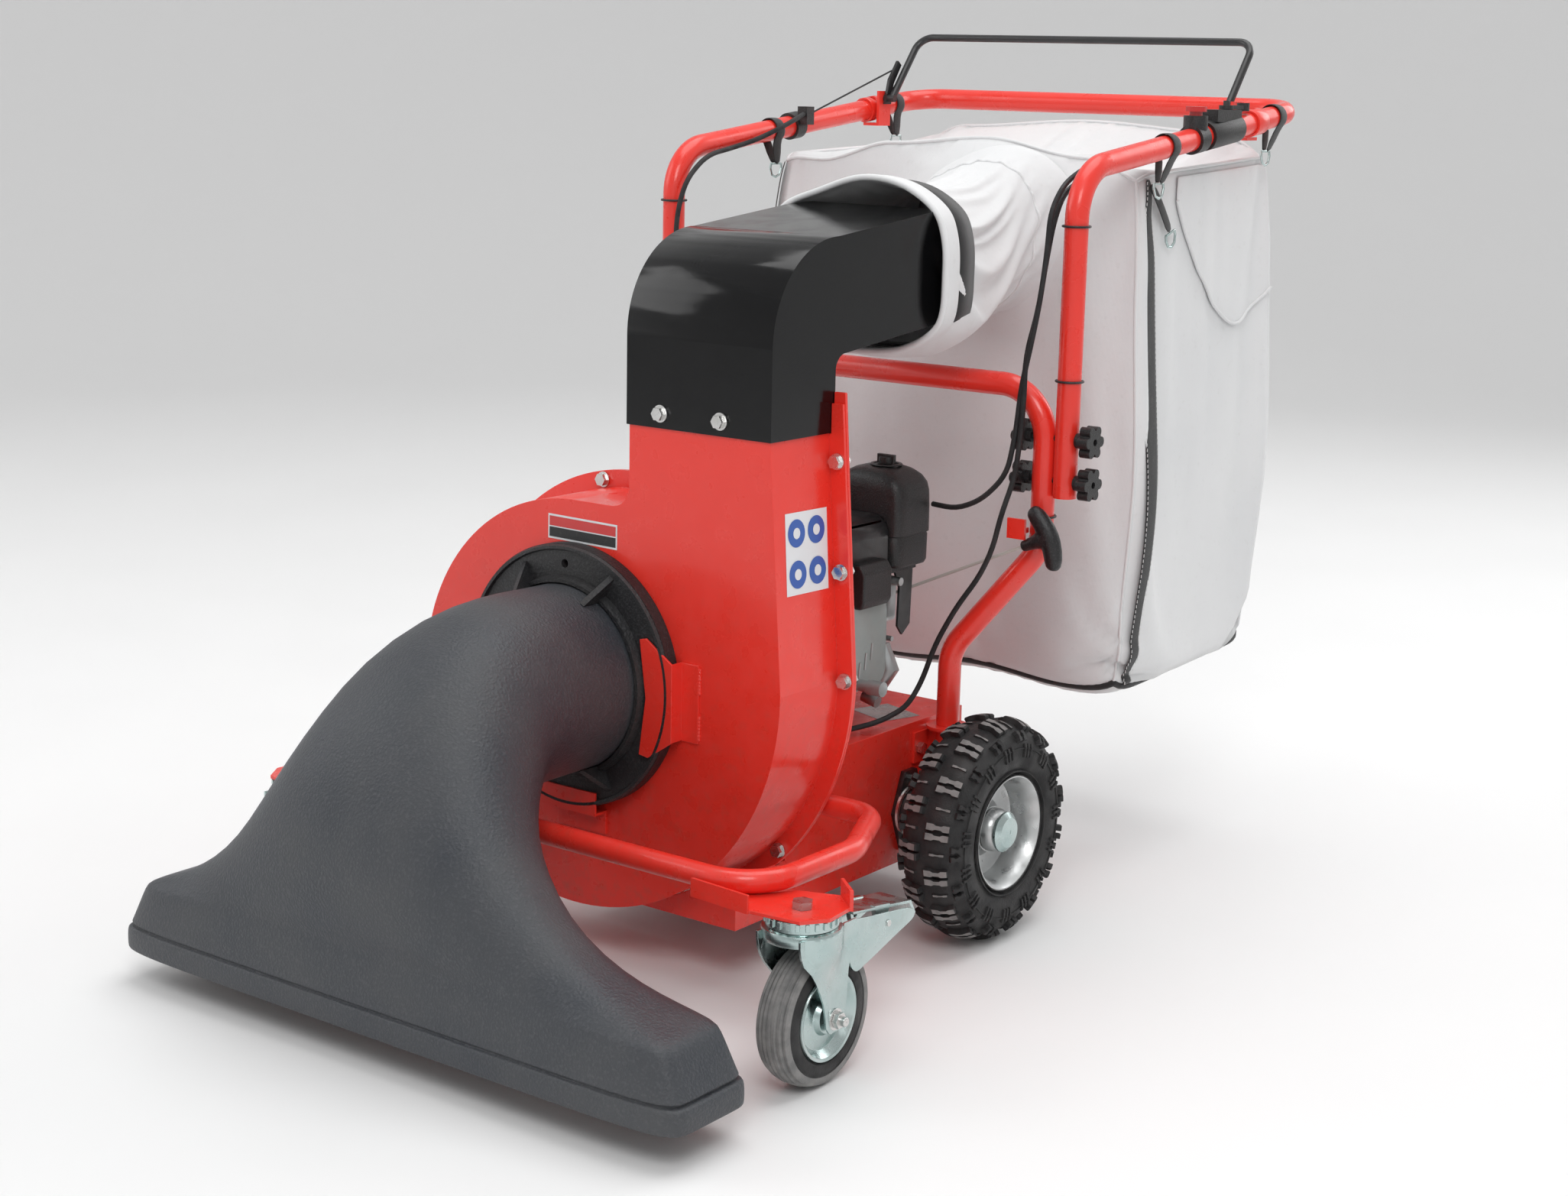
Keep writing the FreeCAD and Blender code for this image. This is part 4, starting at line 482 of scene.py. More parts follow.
def carcass_point(angle, turn, lift, centre):
    """Point on a driven tyre: angle runs round its section from the crown, turn round the wheel."""
    sine, cosine = math.sin(angle), math.cos(angle)
    across = math.copysign(abs(sine) ** 0.88, sine) * (CARCASS_HALF + lift)
    radius = CARCASS_MIDDLE + math.copysign(abs(cosine) ** 0.80, cosine) * (CARCASS_HEIGHT + lift)
    return Vector(centre) + Vector((across, radius * math.cos(turn), radius * math.sin(turn)))


def tread_lug(outline, turn, side, centre, height):
    """(points, faces) of one lug; the outline has section angles in degrees, places in mm."""
    count = len(outline)
    points = []
    for lift, shrink in ((-0.002, 1.0), (height * 0.8, 0.97), (height, 0.86)):
        mean_angle = sum(a for a, _ in outline) / count
        mean_place = sum(p for _, p in outline) / count
        for angle, place_mm in outline:
            a = mean_angle + (angle - mean_angle) * shrink
            p = mean_place + (place_mm - mean_place) * shrink
            points.append(carcass_point(math.radians(side * a), turn + side * p * MM / 0.130, lift, centre))
    faces = [tuple(2 * count + i for i in range(count))]
    for level in range(2):
        for index in range(count):
            after = (index + 1) % count
            faces.append((level * count + index, level * count + after,
                          (level + 1) * count + after, (level + 1) * count + index))
    return points, faces


BONE = [(-1.0, -1.0), (-0.45, -1.05), (-0.25, -0.62), (0.25, -0.62), (0.45, -1.05), (1.0, -1.0),
        (1.0, 1.0), (0.45, 1.05), (0.25, 0.62), (-0.25, 0.62), (-0.45, 1.05), (-1.0, 1.0)]
TREAD_PAIRS = 15


def bone(low, high, middle, half):
    """Outline of a dog-bone bar between two section angles, at a place round the wheel in mm."""
    return [((low + high) / 2 + u * (high - low) / 2, middle + v * half) for u, v in BONE]


def drive_wheel_centres():
    """(side, middle of the wheel) for the right wheel and then the left one."""
    low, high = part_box("drive_tyres")
    reach = high.x - TYRE_HALF_WIDTH
    return [(side, Vector((side * reach, (low.y + high.y) / 2, (low.z + high.z) / 2))) for side in (1, -1)]


def make_drive_tyres():
    pieces, lugs = [], []
    steps, ring = 96, 40
    for _, centre in drive_wheel_centres():
        points = []
        for step in range(steps):
            for index in range(ring + 1):
                angle = math.radians(CARCASS_SPAN * (2 * index / ring - 1))
                points.append(carcass_point(angle, TAU * step / steps, 0, centre))
        faces = []
        for step in range(steps):
            after = (step + 1) % steps
            for index in range(ring):
                faces.append((step * (ring + 1) + index, step * (ring + 1) + index + 1,
                              after * (ring + 1) + index + 1, after * (ring + 1) + index))
        pieces.append((points, faces))
        for out in (-1, 1):
            for radius, across in ((0.0690, 0.0385), (0.0745, 0.0405), (0.1020, 0.0418)):
                rib = [(out * (across - 0.002), radius - 0.001), (out * (across + 0.0006), radius - 0.0006),
                       (out * (across + 0.0006), radius + 0.0006), (out * (across - 0.002), radius + 0.001)]
                pieces.append(spun(rib, centre, "x", 96))
        pitch = TAU / TREAD_PAIRS
        for row in range(TREAD_PAIRS):
            for out in (1, -1):
                turn = pitch * (row + (0 if out > 0 else 0.5))
                for place in (-5.6, 5.6):
                    lugs.append(tread_lug(bone(3, 43, place, 4.2), turn, out, centre, 0.0068))
                    lugs.append(tread_lug(bone(47, 68, place, 3.6), turn + pitch * 0.46, out, centre,
                                          0.0062))
                for place in (-9, 0, 9):
                    lugs.append(tread_lug(bone(72, 92, place, 2.0), turn + pitch * 0.1, out, centre,
                                          0.0028))
                lugs.append(tread_lug(bone(10, 38, 0, 1.6), turn + pitch * 0.5, out, centre, 0.0022))
    carcass = joined("drive_tyre_carcasses", pieces)
    finish_piece(carcass, "tyre_rubber", "drive_wheels", ["drive_tyres"])
    tread = joined("drive_tyre_treads", lugs)
    finish_piece(tread, "tyre_rubber", "drive_wheels")
    tread.data.materials.append(M["tread_grey"])
    hub = drive_wheel_centres()[0][1]
    for face in tread.data.polygons:
        radius = math.hypot(face.center.y - hub.y, face.center.z - hub.z)
        if radius > TREAD_TOP_RADIUS and len(face.vertices) > 4:
            face.material_index = 1


VALVE_OFFSET = Vector((0, -0.046, -0.010))


def make_drive_rims():
    """Pressed rims with a rolled edge, a domed cap and a valve, on both driven wheels."""
    pieces, caps, valves = [], [], []
    for side, centre in drive_wheel_centres():
        profile = [(0.036, 0.0650), (0.0385, 0.0668), (0.0385, 0.0690), (0.0355, 0.0700), (0.033, 0.0675),
                   (0.029, 0.0630), (0.010, 0.0610), (0.004, 0.0590), (0.001, 0.0540), (0.001, 0.0350),
                   (0.006, 0.0290), (0.012, 0.0270), (0.014, 0.0200), (0.014, 0.0115), (-0.034, 0.0115),
                   (-0.034, 0.0260), (-0.004, 0.0260), (-0.006, 0.0600), (-0.030, 0.0630),
                   (-0.0355, 0.0700), (-0.0385, 0.0690), (-0.0385, 0.0668), (-0.035, 0.0645),
                   (-0.028, 0.0600), (0.008, 0.0575), (0.028, 0.0600)]
        pieces.append(spun(mirrored(profile, side), centre, "x", 96))
        dome = [(0.0145, 0.0262), (0.0200, 0.0258), (0.0255, 0.0235), (0.0295, 0.0190), (0.0320, 0.0130),
                (0.0330, 0.0065), (0.0333, 0.0006), (0.0140, 0.0006)]
        caps.append(spun(mirrored(dome, side), centre, "x", 64))
        valve = [(-0.002, 0.0032), (0.012, 0.0032), (0.013, 0.0044), (0.024, 0.0044), (0.025, 0.0030),
                 (0.025, 0.0004), (-0.002, 0.0004)]
        valves.append(spun(mirrored(valve, side), centre + VALVE_OFFSET, "x", 20))
    rims = joined("drive_rim_pressings", pieces)
    finish_piece(rims, "wheel_steel", "drive_wheels", ["drive_rims"])
    finish_piece(joined("drive_rim_caps", caps), "wheel_steel", "drive_wheels")
    finish_piece(joined("drive_rim_valves", valves), "tyre_rubber", "drive_wheels")


def make_caster_tyres():
    for name in ("left", "right"):
        low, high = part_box("caster_tyre_" + name)
        centre = (low + high) / 2
        half = (high.x - low.x) / 2
        outer = (high.z - low.z) / 2
        inner = 0.0465
        profile = [(-half + 0.004, inner), (-half, inner + 0.003), (-half, inner + 0.012),
                   (-half + 0.0015, outer - 0.014),
                   (-half + 0.001, outer - 0.012)]
        ribs = 7
        for index in range(ribs):
            middle = -0.0165 + 0.033 * index / (ribs - 1)
            crown = outer - 0.0042 * abs(middle / 0.0165) ** 2.4
            profile += [(middle - 0.0021, crown - 0.0013), (middle - 0.0015, crown),
                        (middle + 0.0015, crown),
                        (middle + 0.0021, crown - 0.0013)]
        profile += [(half - 0.001, outer - 0.012), (half - 0.0015, outer - 0.014), (half, inner + 0.012),
                    (half, inner + 0.003), (half - 0.004, inner)]
        tyre = joined("caster_tyre_mould_" + name, [spun(profile, centre, "x", 96)])
        finish_piece(tyre, "tyre_rubber", "caster_wheel_" + name, ["caster_tyre_" + name])
        tyre.data.materials.append(M["tread_grey"])
        for face in tyre.data.polygons:
            spot = face.center - centre
            if math.hypot(spot.y, spot.z) > outer - 0.0125:
                face.material_index = 1
        disc = [(-0.021, 0.006), (-0.021, 0.017), (-0.015, 0.020), (-0.012, 0.036), (-0.017, 0.040),
                (-0.0205, 0.043), (-0.0215, 0.0462), (-0.018, 0.0478), (0.018, 0.0478), (0.0215, 0.0462),
                (0.0205, 0.043), (0.017, 0.040), (0.012, 0.036), (0.015, 0.020), (0.021, 0.017),
                (0.021, 0.006)]
        rim = joined("caster_rim_pressing_" + name, [spun(disc, centre, "x", 96)])
        bevelled(rim, 0.0006)
        finish_piece(rim, "wheel_steel", "caster_wheel_" + name, ["caster_rim_" + name], "zinc")


# ---- casters -----------------------------------------------------------------------
FORK_EDGES = [
    # height, front edge and rear edge measured from the wheel's middle
    (-0.0140, -0.0070, 0.0070), (-0.0120, -0.0115, 0.0115), (-0.0060, -0.0150, 0.0150),
    (0.0040, -0.0165, 0.0175), (0.0200, -0.0200, 0.0200), (0.0340, -0.0260, 0.0205),
    (0.0480, -0.0350, 0.0215), (0.0600, -0.0450, 0.0250), (0.0700, -0.0540, 0.0300),
    (0.0800, -0.0590, 0.0340), (0.0900, -0.0610, 0.0340), (0.0980, -0.0612, 0.0340),
]
FORK_TRAIL = 0.022
FORK_HALF = 0.0265
CROWN_RADIUS = 0.0405
CUP_TEETH = 24
CUP_RADIUS = 0.0372
CUP_HEIGHT = 0.1085
RIVET_OFFSET = Vector((0, 0.090, 0.0770))


def fork_cheek(centre, out):
    """(points, faces) of one pressed cheek: flat at the axle, rolling into the round crown above."""
    columns = 14
    points = []
    for height, front, rear in FORK_EDGES:
        blend = min(1.0, max(0.0, (height - 0.040) / 0.045))
        blend = blend * blend * (3 - 2 * blend)
        for column in range(columns):
            y = front + (rear - front) * column / (columns - 1)
            from_stem = y + FORK_TRAIL
            round_x = math.sqrt(max(FORK_HALF ** 2, CROWN_RADIUS ** 2 - from_stem ** 2))
            x = FORK_HALF + (round_x - FORK_HALF) * blend
            crease = 0.0016 * math.exp(-((y + 0.012 + height * 0.16) / 0.004) ** 2) * (1 - blend)
            points.append(centre + Vector((out * (x + crease), y, height)))
    return points, grid_faces(len(FORK_EDGES), columns, closed=False)


PEDAL_ARM = [(-0.010, 0.0960), (0.030, 0.0965), (0.060, 0.0925), (0.100, 0.0875), (0.130, 0.0825),
             (0.1385, 0.0765), (0.134, 0.0690), (0.105, 0.0600), (0.070, 0.0490), (0.050, 0.0430),
             (0.036, 0.0400), (0.026, 0.0480), (0.018, 0.0660)]


def cup_teeth(stem):
    """Pressed teeth round the stem cup above the fork, each a small block turned to face outwards."""
    teeth = []
    outline = [(-0.0016, -0.0022), (0.0018, -0.0022), (0.0018, 0.0022), (-0.0016, 0.0022)]
    for tooth in range(CUP_TEETH):
        turn = TAU * tooth / CUP_TEETH
        outward = Vector((math.cos(turn), math.sin(turn), 0))
        sideways = Vector((-math.sin(turn), math.cos(turn), 0))
        middle = stem + Vector((CUP_RADIUS * math.cos(turn), CUP_RADIUS * math.sin(turn), CUP_HEIGHT))

        def tooth_point(u, v, w, middle=middle, outward=outward, sideways=sideways):
            return middle + outward * u + sideways * v + Vector((0, 0, w))

        teeth.append(prism(outline, -0.0036, 0.0040, tooth_point))
    return teeth


def fork_bolts(centre, out):
    """Nut, washer and bolt end on both sides of a caster; out is the side that the nut is on."""
    bolts = []
    hexagon = circle(0.0088, steps=6)
    washer = [(FORK_HALF + 0.0014, 0.0005), (FORK_HALF + 0.0014, 0.0115), (FORK_HALF + 0.0030, 0.0115),
              (FORK_HALF + 0.0030, 0.0005)]
    for end, reach in ((out, 0.0425), (-out, 0.037)):
        bolts.append(prism(hexagon, FORK_HALF + 0.0030, FORK_HALF + 0.0095,
                           lambda y, z, x, end=end: centre + Vector((end * x, y, z))))
        bolts.append(spun(mirrored(washer, end), centre, "x", 32))
        tip = [(0.020, 0.0005), (0.020, 0.0050), (reach - 0.001, 0.0050), (reach, 0.0040), (reach, 0.0005)]
        bolts.append(spun(mirrored(tip, end), centre, "x", 24))
    return bolts


def make_forks():
    crown = [(0.0905, 0.0075), (0.0905, 0.0375), (0.0880, 0.0402), (0.0915, 0.0418), (0.0975, 0.0418),
             (0.1000, 0.0405), (0.1015, 0.0375), (0.1015, 0.0075)]
    rivet = [(FORK_HALF - 0.001, 0.0003), (FORK_HALF - 0.001, 0.0040), (FORK_HALF + 0.0028, 0.0034),
             (FORK_HALF + 0.0034, 0.0003)]
    arm_outline = [(p.y, p.z) for p in smooth_loop([(0, y, z) for y, z in PEDAL_ARM], 5)]
    for name in ("left", "right"):
        body = "caster_fork_" + name
        centre = box_middle("caster_tyre_" + name)
        stem = centre + Vector((0, -FORK_TRAIL, 0))
        cheeks = joined("caster_fork_cheeks_" + name, [fork_cheek(centre, 1), fork_cheek(centre, -1)])
        thickened(cheeks, 0.0028, 0)
        bevelled(cheeks, 0.0007, 2, 50)
        finish_piece(cheeks, "zinc", body, ["caster_fork_" + name])
        arms = [prism(arm_outline, FORK_HALF - 0.0013, FORK_HALF + 0.0013,
                      lambda y, z, x, out=out: centre + Vector((out * x, y, z))) for out in (1, -1)]
        finish_piece(bevelled(joined("caster_fork_arms_" + name, arms), 0.0006), "zinc", body)
        finish_piece(joined("caster_fork_crown_" + name, [spun(crown, stem, "z", 72)]), "zinc", body)
        finish_piece(bevelled(joined("caster_cup_teeth_" + name, cup_teeth(stem)), 0.0005), "zinc",
                     "chassis")
        bolts = joined("caster_fork_bolts_" + name, fork_bolts(centre, 1 if name == "right" else -1))
        finish_piece(bevelled(bolts, 0.0005), "zinc", body, look="bolt_zinc")
        rivets = [spun(mirrored(rivet, end), centre + RIVET_OFFSET, "x", 20) for end in (1, -1)]
        finish_piece(joined("caster_fork_rivets_" + name, rivets), "zinc", body, look="bolt_zinc")


# ---- starter grip ------------------------------------------------------------------
ROPE_START = Vector((0.0455, 0.106, 0.3675))
ROPE_END = Vector((0.263, 0.101, 0.466))


def swept(points, radii, flat=1.0, across=Vector((0, 1, 0)), sides=28):
    """(points, faces) of a rounded bar along points with a radius at each; flat squashes it along across."""
    rows = []
    for index, (point, radius) in enumerate(zip(points, radii)):
        before, after = points[max(0, index - 1)], points[min(len(points) - 1, index + 1)]
        along = (after - before).normalized()
        first = (across - along * across.dot(along)).normalized()
        second = along.cross(first)
        for side in range(sides):
            angle = TAU * side / sides
            rows.append(point + first * (radius * flat * math.cos(angle))
                        + second * (radius * math.sin(angle)))
    faces = grid_faces(len(points), sides)
    faces += [tuple(range(sides - 1, -1, -1)), tuple(range(len(rows) - sides, len(rows)))]
    return rows, faces


def make_grip():
    along = (ROPE_END - ROPE_START).normalized()
    down = (Vector((1, 0, 0)) - along * along.x).normalized()
    start = ROPE_END + along * 0.0008
    bar_middle = start + along * 0.036
    shape = [(-0.0385, 0.0030), (-0.0375, 0.0062), (-0.0345, 0.0090), (-0.0280, 0.0108), (-0.0180, 0.0116),
             (-0.0080, 0.0122), (0.0, 0.0124), (0.0080, 0.0122), (0.0180, 0.0116), (0.0280, 0.0108),
             (0.0345, 0.0090), (0.0375, 0.0062), (0.0385, 0.0030)]
    bar = [bar_middle + down * reach - along * (0.010 * (reach / 0.0385) ** 2 - 0.003)
           for reach, _ in shape]
    stem = [start, start + along * 0.002, start + along * 0.010, start + along * 0.020,
            start + along * 0.030,
            start + along * 0.038]
    stem_radii = [0.0055, 0.0066, 0.0072, 0.0088, 0.0125, 0.0130]
    grip = joined("starter_grip_moulding", [swept(bar, [radius for _, radius in shape], 0.92),
                                            swept(stem, stem_radii, 0.9)])
    remesh = grip.modifiers.new("merge", "REMESH")
    remesh.mode = "VOXEL"
    remesh.voxel_size = 0.0012
    remesh.use_smooth_shade = True
    soften = grip.modifiers.new("soften", "SMOOTH")
    soften.iterations = 6
    finish_piece(grip, "black_plastic", "recoil_handle", ["recoil_handle"])


# ---- labels, engine cover, folded edges --------------------------------------------
LABEL_AXES = {"x": (Vector((0, 1, 0)), Vector((0, 0, 1)), Vector((1, 0, 0))),
              "y": (Vector((1, 0, 0)), Vector((0, 0, 1)), Vector((0, -1, 0))),
              "z": (Vector((1, 0, 0)), Vector((0, 1, 0)), Vector((0, 0, 1)))}


def stuck_on(name, node, axis, outline, middle, turn, lift, look, body="chassis"):
    """A thin sticker of a flat outline laid on the outside of a CAD node, seen along an axis."""
    across, up, outward = LABEL_AXES[axis]
    item = NODES[node]
    to_local = item.matrix_world.inverted()
    direction = (to_local.to_3x3() @ -outward).normalized()
    rows = []
    rings = 5
    for ring in range(rings + 1):
        share = ring / rings
        for u, v in outline:
            a, b = u * share, v * share
            place = middle[0] + a * math.cos(turn) - b * math.sin(turn)
            rise = middle[1] + a * math.sin(turn) + b * math.cos(turn)
            start = across * place + up * rise + outward * 0.8
            hit, spot, _, _ = item.ray_cast(to_local @ start, direction)
            point = item.matrix_world @ spot if hit else start - outward * 0.8
            rows.append(point + outward * lift)
    sticker = mesh_object(name, rows, grid_faces(rings + 1, len(outline)), sharp=0)
    return finish_piece(sticker, "white_paint", body, look=look)


def rectangle(width, height, steps=8):
    corners = [(-1, -1), (1, -1), (1, 1), (-1, 1)]
    points = []
    for index, (x, y) in enumerate(corners):
        after = corners[(index + 1) % 4]
        for step in range(steps):
            t = step / steps
            points.append(((x + (after[0] - x) * t) * width / 2, (y + (after[1] - y) * t) * height / 2))
    return points


def circle(radius, shift=(0, 0), steps=32):
    return [(shift[0] + radius * math.cos(TAU * k / steps), shift[1] + radius * math.sin(TAU * k / steps))
            for k in range(steps)]


FRONT_STICKER = (-0.0535, 0.5005)
SIDE_STICKER = (-0.2600, 0.5060)


def make_labels():
    """Plain blocks of colour where the machine has stickers."""
    across, height = FRONT_STICKER
    for name, size, shift, lift, look in (("", (0.102, 0.028), 0, 0.0003, "label_white"),
                                          ("_band", (0.098, 0.011), 0.0062, 0.0006, "label_red"),
                                          ("_base", (0.098, 0.011), -0.0062, 0.0006, "strap_web")):
        stuck_on("sticker_front" + name, "fan_housing", "y", rectangle(*size), (across, height + shift),
                 -0.01, lift, look)
    along, height = SIDE_STICKER
    stuck_on("sticker_side", "fan_housing", "x", rectangle(0.074, 0.088), SIDE_STICKER, -0.02, 0.0003,
             "label_white")
    for number, (u, v) in enumerate(((-0.0175, 0.022), (0.0175, 0.022), (-0.0175, -0.022),
                                     (0.0175, -0.022))):
        for name, radius, lift, look in (("disc", 0.0150, 0.0006, "label_blue"),
                                         ("mark", 0.0060, 0.0009, "label_white")):
            stuck_on(f"sticker_side_{name}_{number}", "fan_housing", "x", circle(radius),
                     (along + u, height + v), 0, lift, look)
    stuck_on("sticker_chassis", "chassis_box", "z", rectangle(0.066, 0.055), (0.096, 0.072), -0.32, 0.0003,
             "zinc")


CLEANER_ROWS = [
    # height, how far the side is drawn in, squareness
    (0.4280, 0.0060, 5.0), (0.4290, 0.0030, 5.0), (0.4330, 0.0016, 5.5), (0.4640, 0.0016, 6.0),
    (0.4650, 0.0024, 6.0), (0.4665, 0.0024, 6.0), (0.4675, 0.0002, 6.0), (0.5000, 0.0004, 6.0),
    (0.5220, 0.0012, 6.0), (0.5330, 0.0028, 5.5), (0.5400, 0.0070, 5.0), (0.5440, 0.0140, 4.6),
    (0.5462, 0.0230, 4.2), (0.5470, 0.0320, 4.0),
]


def make_air_cleaner():
    middle = Vector((0.084, 0.075, 0))
    half = (0.0460, 0.0390)
    count = 64
    points = []
    for z, inset, power in CLEANER_ROWS:
        for step in range(count):
            angle = TAU * step / count
            cosine, sine = math.cos(angle), math.sin(angle)
            x = math.copysign(abs(cosine) ** (2 / power), cosine) * (half[0] - inset)
            y = math.copysign(abs(sine) ** (2 / power), sine) * (half[1] - inset * 0.9)
            slope = 0.012 * max(0.0, x / half[0]) ** 2 * max(0.0, (z - 0.500) / 0.047)
            points.append(Vector((middle.x + x, middle.y + y, z - slope)))
    last = len(points)
    points.append(Vector((middle.x, middle.y, 0.5472)))
    faces = grid_faces(len(CLEANER_ROWS), count)
    faces += [(last - count + k, last - count + (k + 1) % count, last) for k in range(count)]
    faces.append(tuple(range(count - 1, -1, -1)))
    body = mesh_object("air_cleaner_cover", points, faces, sharp=60)
    finish_piece(body, "black_plastic", "chassis", ["air_cleaner"])
    rest = [spun([(0.5476, 0.0150), (0.5484, 0.0165), (0.5484, 0.0190), (0.5470, 0.0200), (0.5466, 0.0150)],
                 (middle.x, middle.y, 0), "z", 48)]
    rest.append(block(Vector((0.056, 0.056, 0.403)), Vector((0.090, 0.084, 0.430))))
    rest.append(block(Vector((0.100, 0.048, 0.420)), Vector((0.112, 0.104, 0.432))))
    extra = bevelled(joined("air_cleaner_neck", rest), 0.0015, 2)
    finish_piece(extra, "black_plastic", "chassis")
    intake_box = [(0.104, 0.392), (0.132, 0.392), (0.137, 0.400), (0.137, 0.436), (0.130, 0.446),
                  (0.104, 0.446)]
    ducts = [prism(intake_box, -0.040, 0.018, lambda u, v, w: Vector((u, w, v)))]
    duct = bevelled(joined("intake_duct", ducts), 0.0035, 3)
    finish_piece(duct, "black_plastic", "chassis")
    links = [swept([Vector((0.096, 0.046, 0.342)), Vector((0.120, 0.046, 0.342))], [0.0032, 0.0032]),
             swept([Vector((0.112, 0.044, 0.336)), Vector((0.112, 0.050, 0.336))], [0.0100, 0.0100]),
             swept([Vector((0.104, 0.060, 0.410)), Vector((0.121, 0.060, 0.410))], [0.0060, 0.0050]),
             swept([Vector((0.098, 0.056, 0.330)), Vector((0.108, 0.058, 0.300)),
                    Vector((0.100, 0.050, 0.278))],
                   [0.010, 0.013, 0.009]),
             swept([Vector((0.086, 0.040, 0.268)), Vector((0.106, 0.040, 0.262))], [0.0085, 0.0075])]
    for turn in range(4):
        height = 0.296 + 0.010 * turn
        links.append(swept([Vector((0.1245, -0.040 + 0.012 * turn, height)),
                            Vector((0.1245, -0.038 + 0.012 * turn, height + 0.020))],
                           [0.0014, 0.0014]))
    finish_piece(joined("carburettor_links", links), "cast_alloy", "chassis")


def weld_bead(name, start, end, radius=0.0019):
    """A ripple of weld metal along a straight joint, under the paint."""
    start, end = Vector(start), Vector(end)
    steps = max(8, int((end - start).length / 0.0011))
    points, radii = [], []
    for step in range(steps + 1):
        ripple = abs(math.sin(step * 0.9))
        points.append(start.lerp(end, step / steps) + Vector((0, 0, 0.0004 * random.uniform(-1, 1))))
        radii.append(radius * (0.72 + 0.34 * ripple + 0.08 * random.random()))
    bead = joined(name, [swept(points, radii, 1.0, Vector((0, 1, 0)), 10)])
    return finish_piece(bead, "red_paint", "chassis")


def make_small_fittings():
    """Weld beads, bearing rings and bearing domes that the plain CAD parts leave out."""
    housing_low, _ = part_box("fan_housing")
    foot_x = 0.117
    for number, (low_z, high_z) in enumerate(((0.290, 0.318), (0.342, 0.372))):
        weld_bead(f"clamp_weld_{number}", (foot_x, housing_low.y - 0.0004, low_z),
                  (foot_x, housing_low.y - 0.0004, high_z))
    low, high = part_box("axle_bearings")
    rings, domes = [], []
    for side in (1, -1):
        face = side * (high.x - 0.0145)
        centre = Vector((face, (low.y + high.y) / 2, (low.z + high.z) / 2))
        rings.append(spun([(side * x, r) for x, r in ((0.0, 0.0255), (0.0030, 0.0262), (0.0042, 0.0285),
                                                      (0.0030, 0.0308), (0.0, 0.0315))], centre, "x", 56))
        domes.append(spun([(side * x, r) for x, r in ((0.004, 0.0255), (0.010, 0.0240), (0.0150, 0.0205),
                                                      (0.0160, 0.0170), (0.0160, 0.0140),
                                                      (0.004, 0.0140))],
                          centre, "x", 56))
    finish_piece(joined("bearing_rings", rings), "zinc", "chassis", look="bolt_zinc")
    finish_piece(joined("bearing_domes", domes), "black_steel", "chassis")


FOLDED = ["fan_housing", "housing_back_plate", "chute_elbow", "chassis_box", "nozzle_clamps",
          "cooling_shroud",
          "engine_crankcase", "valve_cover", "frame_sockets", "axle_bearings", "caster_brake_pedal_left",
          "caster_brake_pedal_right", "front_bumper", "hex_bolts", "throttle_body", "bail_brackets"]


def soften_edges():
    """A small bevel on the CAD sheet parts, so that their edges catch the light."""
    for name in FOLDED:
        item = NODES[name]
        weld = item.modifiers.new("weld", "WELD")
        weld.merge_threshold = 0.00002
        bevelled(item, 0.0007, 2, 40)


# ---- bag ---------------------------------------------------------------------------
BAG_CELLS = (48, 32, 58)
BAG_FRONT_Y = 0.314
BAG_SIM_FRAMES = 26
BAG_SQUARENESS = 15
SLING_PLACES = (0.336, 0.618)
HANDLE_LOW_Y, HANDLE_LOW_Z = 0.132, 0.902
HANDLE_HIGH_Y, HANDLE_HIGH_Z = 0.686, 0.971
HANDLE_TUBE_RADIUS = 0.014
SLEEVE_MIDDLE = (0.088, 0.812)


def between(rows, value):
    """Smooth value read from rows of (place, value)."""
    if value <= rows[0][0]:
        return rows[0][1]
    for (start, first), (end, second) in zip(rows, rows[1:]):
        if value <= end:
            t = (value - start) / (end - start)
            t = t * t * (3 - 2 * t)
            return first + (second - first) * t
    return rows[-1][1]


def box_grid(counts, point_at):
    """(points, faces, index) of the six faces of a box; point_at takes three values from 0 to 1."""
    index, points, faces = {}, [], []

    def corner(key):
        if key not in index:
            index[key] = len(points)
            points.append(point_at(*(value / count for value, count in zip(key, counts))))
        return index[key]

    for axis in range(3):
        first, second = [other for other in range(3) if other != axis]
        for end in (0, counts[axis]):
            for p in range(counts[first]):
                for q in range(counts[second]):
                    quad = []
                    for step_p, step_q in ((0, 0), (1, 0), (1, 1), (0, 1)):
                        key = [0, 0, 0]
                        key[axis], key[first], key[second] = end, p + step_p, q + step_q
                        quad.append(corner(tuple(key)))
                    faces.append(quad)
    return points, faces, index


FRONT_TOP = [(-0.298, 0.898), (-0.270, 0.912), (-0.206, 0.907), (-0.094, 0.934), (0.072, 0.946),
             (0.200, 0.926), (0.270, 0.908), (0.298, 0.896)]
REAR_TOP = [(-0.298, 0.920), (-0.200, 0.952), (0.0, 0.964), (0.200, 0.954), (0.298, 0.922)]
SIDE_SWELL = [(0.0, -0.010), (0.12, -0.002), (0.45, 0.010), (0.80, 0.000), (1.0, -0.010)]


